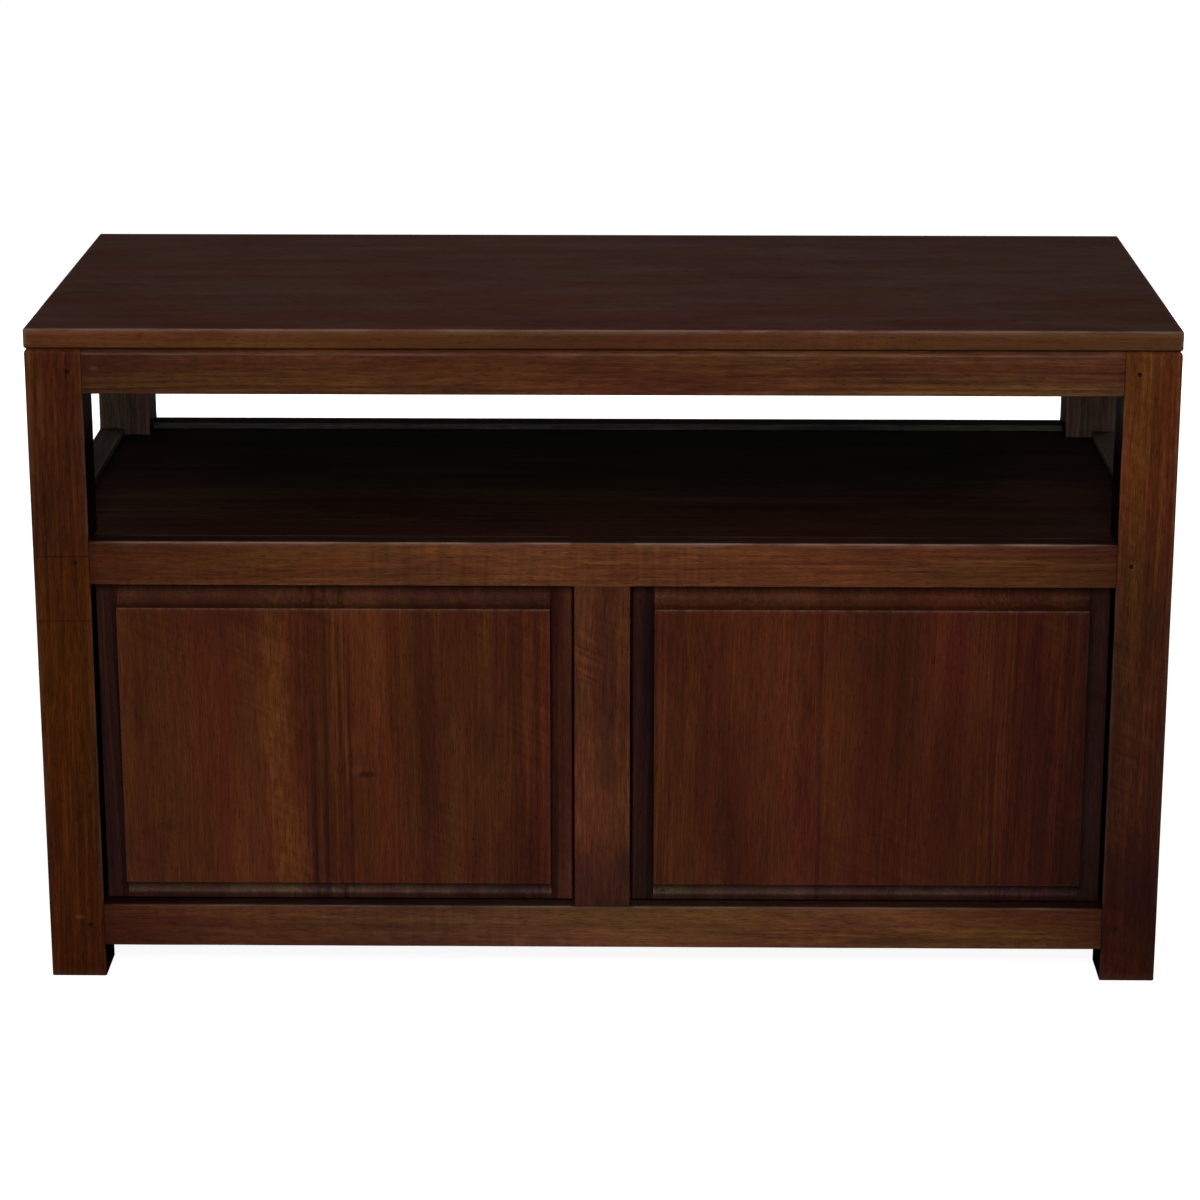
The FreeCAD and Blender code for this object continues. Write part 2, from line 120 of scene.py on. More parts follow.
class Worded(Enum):
    """Choice whose name, in small letters, is the word that the CAD nodes use."""

    @property
    def word(self) -> str:
        """The choice's word in the CAD nodes' names."""
        return self.name.lower()


class Side(Worded):
    """Left and right of the stand as seen from the front."""

    LEFT = -1
    RIGHT = 1


class End(Worded):
    """Front and rear of the stand."""

    FRONT = -1
    REAR = 1


class Level(Worded):
    """Heights at which rails meet the legs, from the top down."""

    TOP = 2
    MIDDLE = 1
    BOTTOM = 0


class Arris(Enum):
    """Arrises in order round a section: whether its two places are low (-1) or high (1) there."""

    LOW_LOW = (-1, -1)
    HIGH_LOW = (1, -1)
    HIGH_HIGH = (1, 1)
    LOW_HIGH = (-1, 1)

    @property
    def column(self) -> int:
        """Place in the order round the section."""
        return list(Arris).index(self)


class Blend(Enum):
    """How a second colour is laid over a first."""

    COVER = "MIX"
    TINT = "MULTIPLY"


class Slot(Enum):
    """Material slots of the record for the new pieces, passed along but not given to them."""

    SHOW_WOOD = "stained_mahogany"
    PEG = "dark_peg"


@dataclass
class Skin:
    """Arrays of one closed piece, with the values that its finish reads at each point."""

    points: Array
    faces: list
    grain: Array
    tone: Array
    wear: Array

    def to_object(self, name: str, material: Material) -> bpy.types.Object:
        """Put the arrays into a mesh object at the origin.

        Args:
            name: the object's name.
            material: its one material.

        Returns:
            The linked object, smooth shaded with its sharp edges marked.
        """
        mesh = bpy.data.meshes.new(name)
        mesh.from_pydata(self.points.tolist(), [], self.faces)
        mesh.polygons.foreach_set("use_smooth", np.ones(len(mesh.polygons), bool))
        mesh.set_sharp_from_angle(angle=SHARP_ANGLE)
        for label, values in (("grain", self.grain), ("tone", self.tone), ("wear", self.wear)):
            layer = mesh.attributes.new(label, "FLOAT_VECTOR", "POINT")
            layer.data.foreach_set("vector", np.ascontiguousarray(values, np.float32).ravel())
        mesh.materials.append(material)
        mesh.update()
        made = bpy.data.objects.new(name, mesh)
        bpy.context.scene.collection.objects.link(made)
        return made


def corners_of(node: str) -> tuple[Array, Array]:
    """Lowest and highest corner of a CAD node as arrays."""
    low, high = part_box(node)
    return np.array(low), np.array(high)


def ripple(rng: np.random.Generator, *spans: Array) -> Array:
    """Soft seeded unevenness between -1 and 1: a mean of sines with drawn wavelengths and phases.

    Args:
        rng: source of the wavelengths and phases.
        spans: coordinate arrays in metres that broadcast together.

    Returns:
        Array of the broadcast shape.
    """
    total = 0.0
    for _ in range(RIPPLE_WAVES):
        phase = rng.uniform(0.0, 2.0 * math.pi)
        for span in spans:
            phase = phase + span * 2.0 * math.pi / rng.uniform(*RIPPLE_LENGTHS) * rng.choice([-1.0, 1.0])
        total = total + np.sin(phase)
    return total / RIPPLE_WAVES


def quarter_round(radius: float, rings: int) -> tuple[Array, Array]:
    """Advance r (1 - cos p) and drawing-in r (1 - sin p) of a quarter round, p going from 0 to pi / 2."""
    turn = np.linspace(0.0, math.pi / 2, rings)
    return radius * (1 - np.cos(turn)), radius * (1 - np.sin(turn))


def side_run(
    half: Array, first: Array, last: Array, mids: int
) -> tuple[Array, Array]:
    """One side of a rounded rectangle, from the middle of one corner's arc to the middle of the next.

    On each arc the place is the core's end plus r sin(angle) and the drop from the flat is
    r (1 - cos(angle)). Between the arcs the drop is zero, with samples close to each arris and an even
    spread between.

    Args:
        half: half length of the side for each ring.
        first: radius of the corner where the side starts, for each ring.
        last: radius of the corner where it ends, for each ring.
        mids: number of even samples.

    Returns:
        Place along the side and drop from its flat, both of shape (rings, samples).
    """
    half, first, last = half[:, None], first[:, None], last[:, None]
    turn = np.linspace(math.pi / 4, 0.0, ARC_STEPS + 1)[None, :]
    back = turn[:, ::-1]
    begin, finish = first - half, half - last
    reach = NEAR_ARRIS[None, :] * np.minimum(1.0, NEAR_SHARE * (finish - begin) / NEAR_ARRIS[-1])
    inner_begin, inner_finish = begin + reach[:, -1:], finish - reach[:, -1:]
    share = (np.arange(1, mids + 1) / (mids + 1))[None, :]
    spread = inner_begin + share * (inner_finish - inner_begin)
    flat = np.concatenate([begin + reach, spread, (finish - reach)[:, ::-1]], axis=1)
    along = np.concatenate([begin - first * np.sin(turn), flat, finish + last * np.sin(back)], axis=1)
    drops = [first * (1 - np.cos(turn)), np.zeros_like(flat), last * (1 - np.cos(back))]
    return along, np.concatenate(drops, axis=1)


def side_count(mids: int) -> int:
    """Samples on one side of a rounded rectangle."""
    return 2 * (ARC_STEPS + 1) + 2 * len(NEAR_ARRIS) + mids


@dataclass
class LoopPlan:
    """Stack of rounded rectangles, one for each ring of a skin."""

    half_a: Array
    half_b: Array
    radius: Array
    mids_a: int
    mids_b: int

    def outline(self) -> tuple[Array, Array]:
        """Go round the four sides anticlockwise from the corner where both places are lowest.

        Returns:
            The two section places, each of shape (rings, samples round the loop).
        """
        r = self.radius
        low_a, low_drop = side_run(self.half_a, r[:, 0], r[:, 1], self.mids_a)
        high_b, high_drop = side_run(self.half_b, r[:, 1], r[:, 2], self.mids_b)
        top_a, top_drop = side_run(self.half_a, r[:, 2], r[:, 3], self.mids_a)
        left_b, left_drop = side_run(self.half_b, r[:, 3], r[:, 0], self.mids_b)
        half_a, half_b = self.half_a[:, None], self.half_b[:, None]
        runs_a = [low_a, half_a - high_drop, -top_a, left_drop - half_a]
        runs_b = [low_drop - half_b, high_b, half_b - top_drop, -left_b]
        a = np.concatenate([run[:, :-1] for run in runs_a], axis=1)
        b = np.concatenate([run[:, :-1] for run in runs_b], axis=1)
        return a, b

    @property
    def cap_shape(self) -> tuple[int, int]:
        """Samples along the two directions of an end cap."""
        return side_count(self.mids_a), side_count(self.mids_b)


def cap_points(loop: Array, na: int, nb: int) -> Array:
    """Inner points of an end cap: the loop's four sides blended across (a Coons patch).

    Args:
        loop: the ring's points, shape (2 na + 2 nb - 4, 3).
        na: samples on the first side.
        nb: samples on the second side.

    Returns:
        Points of shape (na - 2, nb - 2, 3).
    """
    low = loop[:na]
    right = loop[na - 1 : na + nb - 1]
    high = loop[na + nb - 2 : 2 * na + nb - 2][::-1]
    left = np.concatenate([loop[2 * na + nb - 3 :], loop[:1]])[::-1]
    run_u = np.linalg.norm(low - low[0], axis=1)
    run_v = np.linalg.norm(right - right[0], axis=1)
    u = (run_u / run_u[-1])[1:-1, None, None]
    v = (run_v / run_v[-1])[None, 1:-1, None]
    across = (1 - v) * low[1:-1, None] + v * high[1:-1, None]
    up = (1 - u) * left[None, 1:-1] + u * right[None, 1:-1]
    corners = (1 - u) * ((1 - v) * low[0] + v * high[0]) + u * ((1 - v) * low[-1] + v * high[-1])
    return across + up - corners


def cap_index(base: int, inner: int, na: int, nb: int) -> Array:
    """Point numbers of a cap's grid: its border is the ring, its inside the cap's own points.

    Args:
        base: number of the ring's first point.
        inner: number of the cap's first inner point.
        na: samples on the first side.
        nb: samples on the second side.

    Returns:
        Integer array of shape (na, nb).
    """
    loop = 2 * (na - 1) + 2 * (nb - 1)
    index = np.zeros((na, nb), int)
    index[:, 0] = base + np.arange(na)
    index[na - 1, :] = base + na - 1 + np.arange(nb)
    index[:, nb - 1] = base + na + nb - 2 + np.arange(na)[::-1]
    index[0, 1:] = base + loop - np.arange(1, nb)
    index[1:-1, 1:-1] = inner + np.arange((na - 2) * (nb - 2)).reshape(na - 2, nb - 2)
    return index


def ring_quads(rings: int, samples: int) -> Array:
    """Faces between neighbouring rings, each quad going round and then on along the stack.

    Args:
        rings: rings in the stack.
        samples: points round each ring.

    Returns:
        Point numbers of shape (quads, 4).
    """
    ring = np.arange(rings * samples).reshape(rings, samples)
    after = np.roll(ring, -1, axis=1)
    return np.stack([ring[:-1], after[:-1], after[1:], ring[1:]], axis=-1).reshape(-1, 4)


def grid_quads(index: Array) -> Array:
    """Faces of a grid of point numbers."""
    return np.stack([index[:-1, :-1], index[1:, :-1], index[1:, 1:], index[:-1, 1:]], axis=-1).reshape(-1, 4)


def close_stack(loops: Array, cap_shape: tuple[int, int]) -> tuple[Array, list]:
    """Close a stack of loops with a grid cap at each end.

    Args:
        loops: ring points of shape (rings, samples, 3), anticlockwise seen from the stack's far end.
        cap_shape: samples on the caps' two sides.

    Returns:
        Points (rings first, then the first cap's inside, then the last cap's) and the faces.
    """
    rings, samples, _ = loops.shape
    na, nb = cap_shape
    first, last = cap_points(loops[0], na, nb), cap_points(loops[-1], na, nb)
    inner = rings * samples
    count = (na - 2) * (nb - 2)
    foot = cap_index(0, inner, na, nb)
    head = cap_index((rings - 1) * samples, inner + count, na, nb)
    quads = np.concatenate([ring_quads(rings, samples), grid_quads(foot)[:, ::-1], grid_quads(head)])
    points = np.concatenate([loops.reshape(-1, 3), first.reshape(-1, 3), last.reshape(-1, 3)])
    return points, quads.tolist()


def edge_distance(points: Array, low: Array, high: Array) -> Array:
    """Distance of skin points from a box's nearest arris: the second smallest of those to its faces."""
    reach = np.minimum(points - low, high - points)
    return np.sort(np.maximum(reach, 0.0), axis=1)[:, 1]


def tone_along(share: Array, stops: ToneStops) -> Array:
    """Stain factors of shape (places, 3), interpolated between the stops for shares of a run."""
    places = [place for place, _ in stops]
    return np.stack([np.interp(share, places, [tone[c] for _, tone in stops]) for c in range(3)], axis=1)


def log_place(points: Array, axis: Axis, rng: np.random.Generator) -> Array:
    """Where each point lay in the log: along the grain, then two distances from the heart.

    The board is cut at a drawn distance from the heart and with a slight run-out, so that its rings drift
    across the face along its length.

    Args:
        points: the piece's points.
        axis: direction of the grain.
        rng: source of the board's place in the log.

    Returns:
        Array of shape (points, 3).
    """
    a, b, run = axis.columns()
    heart = rng.uniform(*HEART_GAP, 2) * rng.choice([-1.0, 1.0], 2)
    slope = rng.uniform(*RUN_OUT, 2)
    along = points[:, run]
    place = [
        along + rng.uniform(*LOG_SHIFT),
        points[:, a] - points[:, a].mean() + heart[0] + slope[0] * along,
        points[:, b] - points[:, b].mean() + heart[1] + slope[1] * along,
    ]
    return np.stack(place, axis=1)


@dataclass(frozen=True)
class FaceStain:
    """Painted shade and sheen of the face that looks along an axis, towards its high end (1) or its low end
    (-1).
    """

    axis: Axis
    sign: int
    tone: Triple


@dataclass(frozen=True)
class ArrisStop:
    """Stretch of one arris that is left square because a rail or mullion meets it there."""

    arris: Arris
    start: float
    finish: float


@dataclass
class Board:
    """Straight board with eased arrises: a rounded section carried along its length."""

    low: Array
    high: Array
    axis: Axis
    seed: int
    # The section, its four arrises and the rounds of its two ends.
    inset: float = 0.0
    ease: float = 0.0013
    end_ease: float = 0.0004
    head_ease: float = 0.0
    crest: float = 0.0
    crest_arris: Arris = Arris.LOW_LOW
    square_radius: float = 0.00025
    stops: list[ArrisStop] = field(default_factory=list)
    stop_run: float = 0.005
    # Rings along the board, how far they keep from the ends' rounds, and samples across each face.
    spacing: float = 0.008
    fewest_rings: int = 4
    end_rings: int = 6
    stop_rings: int = 5
    clearance: Pair = (1.5, 1.1)
    mids: int = 3
    # Hand work: uneven arrises, and flats that are sanded hollow up to close to them.
    unevenness: float = 0.22
    waviness: float = 0.00010
    hollow_power: int = 8
    # Tone along the board, painted shade and sheen on single faces, and stain in its joints and glued seams.
    tone: ToneStops = EVEN_TONE
    stains: tuple[FaceStain, ...] = ()
    stain_reach: float = 0.3
    mottle: float = 0.26
    joint_shadow: float = 0.0
    joint_reach: float = 0.0016
    seams: tuple[float, ...] = ()
    seam_half: float = 0.0007
    seam_clog: float = 0.85
    # Rubbing and its painted highlight: where it starts and fades in shares of the ease, and what is left
    # beside a stop.
    upper_rub: float = 1.0
    lower_rub: float = 0.25
    rub_start: float = 0.35
    rub_reach: float = 0.9
    rub_fade: float = 0.05
    crest_rub: float = 0.60
    crest_line: float = 0.0008
    stop_rub: float = 0.35

    def rings(self) -> tuple[Array, Array]:
        """Places of the rings along the board and how far each is drawn in.

        Both ends are quarter rounds, and the head may have a larger one than the foot. Between them the rings
        are even, with extra ones where an arris stops or a seam runs.

        Returns:
            Place along the run (from the low end) and the drawing-in, one of each per ring.
        """
        start = self.low[self.axis.value]
        length = self.high[self.axis.value] - start
        head = max(self.head_ease, self.end_ease)
        curve, draw = quarter_round(self.end_ease, self.end_rings)
        head_curve, head_draw = quarter_round(head, self.end_rings)
        count = max(self.fewest_rings, int(length / self.spacing))
        body = np.linspace(self.end_ease, length - head, count)
        spread = np.linspace(-self.stop_run, self.stop_run, self.stop_rings)
        extra = [(np.array([[s.start], [s.finish]]) - start + spread).ravel() for s in self.stops]
        lines = [seam - start + self.seam_half * np.array([-1.0, 0.0, 1.0]) for seam in self.seams]
        inner = np.concatenate([body[1:-1], *extra, *lines])
        from_foot, from_head = self.clearance
        clear = (inner > from_foot * self.end_ease) & (inner < length - from_head * head)
        inner = np.unique(inner[clear].round(PLACE_DECIMALS))
        place = np.concatenate([curve, inner, length - head_curve[::-1]])
        return place, np.concatenate([draw, np.zeros_like(inner), head_draw[::-1]])

    def radii(self, place: Array, draw: Array, rng: np.random.Generator) -> Array:
        """Radius of the four arrises at each ring: hand-sanded, and fading to square at the stops.

        Args:
            place: ring places along the run.
            draw: drawing-in of each ring.
            rng: source of the unevenness.

        Returns:
            Array of shape (rings, 4).
        """
        columns = [self.ease * (1 + self.unevenness * ripple(rng, place)) for _ in Arris]
        radius = np.stack(columns, axis=1)
        if self.crest > 0.0:
            radius[:, self.crest_arris.column] = self.crest
        world = place + self.low[self.axis.value]
        for stop in self.stops:
            outside = np.maximum(stop.start - world, world - stop.finish)
            free = np.clip(outside / self.stop_run, 0.0, 1.0)
            radius[:, stop.arris.column] *= free * free * (3 - 2 * free)
        return np.maximum(radius - draw[:, None], self.square_radius)

    def wear(self, points: Array) -> Array:
        """Rubbed and painted-highlight arrises, stain gathered at butting ends and along glued seams, and the
        speckle.

        Args:
            points: the board's points.

        Returns:
            Array of shape (points, 3): rubbed with the painted highlight, clogged, mottled.
        """
        world = points[:, self.axis.value]
        from_end = np.minimum(world - self.low[self.axis.value], self.high[self.axis.value] - world)
        clogged = self.joint_shadow * np.exp(-from_end / self.joint_reach)
        for seam in self.seams:
            line = np.clip(1 - np.abs(world - seam) / self.seam_half, 0.0, 1.0)
            clogged = np.maximum(clogged, self.seam_clog * line)
        rubbed = self._rubbed(points, world, from_end)
        return np.stack([rubbed, clogged, np.full_like(clogged, self.mottle)], axis=1)

    def _rubbed(self, points: Array, world: Array, from_end: Array) -> Array:
        """Rubbed arrises with painted highlight: fading towards butting ends and above a crest, dropping at
        the stops.

        Args:
            points: the board's points.
            world: their places along the run.
            from_end: their distances from the nearer end.

        Returns:
            One value for each point.
        """
        a, b, _ = self.axis.columns()
        butted = self.joint_shadow > 0.0
        if butted:
            reach = np.minimum(points - self.low, self.high - points) - self.inset
            gap = reach[:, [a, b]].max(axis=1)
        else:
            gap = edge_distance(points, self.low + self.inset, self.high - self.inset)
        rubbed = np.exp(-np.maximum(gap - self.rub_start * self.ease, 0.0) / (self.rub_reach * self.ease))
        above = points[:, 2] > (self.low[2] + self.high[2]) / 2
        rubbed = rubbed * np.where(above, self.upper_rub, self.lower_rub)
        if butted:
            rubbed = rubbed * np.clip(from_end / self.rub_fade, 0.0, 1.0)
        shoulder = max(self.crest, self.head_ease)
        if shoulder > 0.0:
            line = np.exp(-(((points[:, 2] - self.high[2] + shoulder) / self.crest_line) ** 2))
            rubbed = np.maximum(rubbed * (points[:, 2] < self.high[2] - shoulder), self.crest_rub * line)
        for stop in self.stops:
            inside = np.minimum(world - stop.start, stop.finish - world)
            rubbed = rubbed * np.clip(-inside / self.stop_run, self.stop_rub, 1.0)
        return rubbed

    def stained(self, points: Array) -> Array:
        """Tone along the run, times the painted shade and sheen of single faces.

        Args:
            points: the board's points.

        Returns:
            Factors of shape (points, 3).
        """
        run = self.axis.value
        tone = tone_along((points[:, run] - self.low[run]) / (self.high[run] - self.low[run]), self.tone)
        for stain in self.stains:
            c = stain.axis.value
            rim = self.high[c] if stain.sign > 0 else self.low[c]
            tone[np.abs(points[:, c] - rim) < self.inset + self.stain_reach * self.ease] *= stain.tone
        return tone

    def skin(self) -> Skin:
        """Carry the rounded section along the run and sand its flats very slightly hollow.

        Returns:
            The closed skin.
        """
        rng = np.random.default_rng(self.seed)
        a, b, run = self.axis.columns()
        place, draw = self.rings()
        half = (self.high - self.low) / 2 - self.inset
        middle = (self.high + self.low) / 2
        plan = LoopPlan(half[a] - draw, half[b] - draw, self.radii(place, draw, rng), self.mids, self.mids)
        loop_a, loop_b = plan.outline()
        share_a, share_b = loop_a / half[a], loop_b / half[b]
        hollow = self.waviness * 0.5 * (1 + ripple(rng, place[:, None], loop_a, loop_b))
        loop_a = loop_a - np.sign(share_a) * hollow * (1 - share_b**2) * share_a**self.hollow_power
        loop_b = loop_b - np.sign(share_b) * hollow * (1 - share_a**2) * share_b**self.hollow_power
        loops = np.empty((len(place), loop_a.shape[1], 3))
        loops[..., a] = middle[a] + loop_a
        loops[..., b] = middle[b] + loop_b
        loops[..., run] = (self.low[run] + place)[:, None]
        points, faces = close_stack(loops, plan.cap_shape)
        grain = log_place(points, self.axis, rng)
        return Skin(points, faces, grain, self.stained(points), self.wear(points))


def opaque(colour: Triple) -> tuple[float, float, float, float]:
    """The colour with the fourth part that Blender's sockets take."""
    return (*colour, 1.0)


@dataclass(frozen=True)
class Pattern:
    """Noise in a finish: cells per metre along each axis, octaves, their strength, and patches' rims."""

    cells: Triple
    detail: float = 2.0
    rough: float = 0.5
    edge: Pair = (0.3, 0.7)


class NodeTable:
    """Node tree of a material or world that nodes are added to."""

    def __init__(self, tree: bpy.types.NodeTree) -> None:
        """Keep the tree, emptied."""
        self.tree = tree
        self.tree.nodes.clear()

    def feed(self, socket: Socket, value: Value | tuple) -> None:
        """Link an output to an input, or set the input to a plain value.

        Args:
            socket: the input.
            value: an output, a number, a vector or a colour.
        """
        if isinstance(value, Socket):
            self.tree.links.new(value, socket)
        else:
            socket.default_value = value

    def node(self, kind: str, fed: Fed, **settings: str) -> bpy.types.Node:
        """Add a node.

        Args:
            kind: Blender's name of it after the leading ShaderNode.
            fed: what goes to its inputs, by their names or numbers.
            settings: its properties, set before the inputs are fed.

        Returns:
            The node.
        """
        made = self.tree.nodes.new(f"ShaderNode{kind}")
        for label, setting in settings.items():
            setattr(made, label, setting)
        for place, value in fed.items():
            self.feed(made.inputs[place], value)
        return made

    def by_ray(self, seen: Socket, other: Socket) -> Socket:
        """A shader that the camera sees, and another one for all other rays."""
        camera = self.node("LightPath", {}).outputs["Is Camera Ray"]
        return self.node("MixShader", {0: camera, 1: other, 2: seen}).outputs[0]


class NodePen(NodeTable):
    """Draws the nodes of one material round its Principled shader."""

    def __init__(self, name: str) -> None:
        """Start the material.

        Args:
            name: of the material.
        """
        self.material = bpy.data.materials.new(name)
        self.material.use_nodes = True
        super().__init__(self.material.node_tree)
        self.shader = self.node("BsdfPrincipled", {})
        self.node("OutputMaterial", {"Surface": self.shader.outputs["BSDF"]})

    def paint(self, fed: Fed) -> None:
        """Feed inputs of the shader by their names."""
        for label, value in fed.items():
            self.feed(self.shader.inputs[label], value)

    def attribute(self, label: str) -> Socket:
        """Vector value that the skin carries under this label."""
        return self.node("Attribute", {}, attribute_name=label).outputs["Vector"]

    def object_place(self) -> Socket:
        """Object coordinates in metres."""
        return self.node("TexCoord", {}).outputs["Object"]

    def math(self, operation: str, a: Value, b: Value) -> Socket:
        """Blender's operation of this name on two numbers."""
        return self.node("Math", {0: a, 1: b}, operation=operation).outputs[0]

    def plus(self, a: Value, b: Value) -> Socket:
        """Sum of two numbers."""
        return self.math("ADD", a, b)

    def minus(self, a: Value, b: Value) -> Socket:
        """First number less the second."""
        return self.math("SUBTRACT", a, b)

    def times(self, a: Value, b: Value) -> Socket:
        """Product of two numbers."""
        return self.math("MULTIPLY", a, b)

    def larger(self, a: Value, b: Value) -> Socket:
        """Larger of two numbers."""
        return self.math("MAXIMUM", a, b)

    def zigzag(self, a: Value, height: Value) -> Socket:
        """Number folded to and fro between 0 and a height."""
        return self.math("PINGPONG", a, height)

    def vector(self, operation: str, a: Value | tuple, b: Value | tuple) -> Socket:
        """Blender's operation of this name on two vectors."""
        return self.node("VectorMath", {0: a, 1: b}, operation=operation).outputs["Vector"]

    def stretch(self, a: Socket, b: Socket | Triple) -> Socket:
        """Product of two vectors or colours, part by part."""
        return self.vector("MULTIPLY", a, b)

    def length(self, a: Socket) -> Socket:
        """Length of a vector."""
        return self.node("VectorMath", {0: a}, operation="LENGTH").outputs["Value"]

    def scale(self, colour: Socket, factor: Value) -> Socket:
        """Colour made paler or darker by one factor."""
        return self.node("VectorMath", {0: colour, "Scale": factor}, operation="SCALE").outputs["Vector"]

    def split(self, value: Socket) -> tuple[Socket, ...]:
        """The three parts of a vector."""
        return tuple(self.node("SeparateXYZ", {0: value}).outputs)

    def join(self, x: Value, y: Value, z: Value) -> Socket:
        """A vector from three numbers."""
        return self.node("CombineXYZ", {0: x, 1: y, 2: z}).outputs[0]

    def turned(self, parts: tuple[Socket, ...], axis: Axis) -> Socket:
        """Place whose first part runs along the grain."""
        a, b, run = axis.columns()
        return self.join(parts[run], parts[a], parts[b])

    def noise(self, place: Socket, pattern: Pattern, colour: bool = False) -> Socket:
        """Noise whose cells differ by direction.

        Args:
            place: coordinates in metres.
            pattern: its cells and octaves.
            colour: give the three-part output.

        Returns:
            The noise, about 0.5 in the mean.
        """
        fed = {
            "Scale": 1.0,
            "Detail": pattern.detail,
            "Roughness": pattern.rough,
            "Vector": self.stretch(place, pattern.cells),
        }
        return self.node("TexNoise", fed).outputs["Color" if colour else "Fac"]

    def patches(self, place: Socket, pattern: Pattern, low: float = 0.0, high: float = 1.0) -> Socket:
        """Noise turned into soft-rimmed patches of the high value in the low one."""
        return self.step(self.noise(place, pattern), *pattern.edge, low, high)

    def wander(self, grain: Socket, pattern: Pattern, reach: float) -> Socket:
        """Grain place that drifts across along its length, by noise that swings within the reach."""
        drift = self.vector("SUBTRACT", self.noise(grain, pattern, colour=True), (0.5, 0.5, 0.5))
        return self.vector("ADD", grain, self.stretch(drift, (0.0, reach, reach)))

    def step(self, value: Value, start: float, finish: float, low: float = 0.0, high: float = 1.0) -> Socket:
        """Smooth change from low to high while the value goes from start to finish."""
        fed = {"Value": value, "From Min": start, "From Max": finish, "To Min": low, "To Max": high}
        return self.node("MapRange", fed, interpolation_type="SMOOTHSTEP").outputs["Result"]

    def ramp(self, value: Value, places: tuple[float, ...], colours: tuple[Triple, ...]) -> Socket:
        """Colour between stops.

        Args:
            value: the place between the stops.
            places: the stops, in rising order.
            colours: one for each stop.

        Returns:
            The colour.
        """
        node = self.node("ValToRGB", {"Fac": value})
        elements = node.color_ramp.elements
        while len(elements) < len(places):
            elements.new(0.5)
        for element, place, colour in zip(elements, places, colours):
            element.position = place
            element.color = opaque(colour)
        return node.outputs["Color"]

    def mix(self, share: Value, a: Socket, b: Triple, blend: Blend = Blend.COVER) -> Socket:
        """A plain colour laid over another by a share."""
        fed = {"Factor": share, MIX_FIRST: a, MIX_SECOND: opaque(b)}
        return self.node("Mix", fed, data_type="RGBA", blend_type=blend.value).outputs[MIX_RESULT]

    def bump(self, height: Value, strength: float, depth: float) -> None:
        """Raise or sink the shading by a height of up to the depth in metres."""
        fed = {"Strength": strength, "Distance": depth, "Height": height}
        self.paint({"Normal": self.node("Bump", fed).outputs["Normal"]})


@dataclass(frozen=True)
class Mark:
    """Small knot, scuff or smudge on a front face: an oval about a place, soft at its rim."""

    place: Pair
    size: Pair
    colour: Triple
    share: float = 0.7


FRONT_MARKS = (
    Mark((-0.2104, 0.1949), (0.0105, 0.0036), (0.019, 0.0042, 0.0022), 0.75),
    Mark((-0.2190, 0.1985), (0.0050, 0.0060), (0.085, 0.0240, 0.0080), 0.45),
    Mark((-0.1157, 0.1338), (0.0016, 0.0016), (0.010, 0.0030, 0.0020), 0.80),
    Mark((-0.3910, 0.1447), (0.0120, 0.0070), (0.022, 0.0080, 0.0020), 0.45),
    Mark((-0.1020, 0.2280), (0.0110, 0.0300), (0.020, 0.0058, 0.0028), 0.35),
    Mark((-0.4585, 0.1737), (0.0030, 0.0040), (0.016, 0.0040, 0.0016), 0.70),
    Mark((-0.4543, 0.1398), (0.0026, 0.0030), (0.016, 0.0040, 0.0016), 0.60),
    Mark((-0.4730, 0.0575), (0.0050, 0.0022), (0.110, 0.0420, 0.0140), 0.50),
    Mark((-0.3985, 0.5940), (0.0038, 0.0030), (0.070, 0.0105, 0.0014), 0.85),
    Mark((-0.4400, 0.5650), (0.0045, 0.0024), (0.100, 0.0520, 0.0330), 0.22),
    Mark((0.0030, 0.2020), (0.0160, 0.0260), (0.034, 0.0100, 0.0052), 0.45),
    Mark((0.4720, 0.1000), (0.0200, 0.0300), (0.020, 0.0052, 0.0040), 0.50),
    Mark((-0.0160, 0.0958), (0.0110, 0.0210), (0.026, 0.0075, 0.0060), 0.45),
    Mark((0.0190, 0.1100), (0.0080, 0.0210), (0.022, 0.0065, 0.0055), 0.50),
)


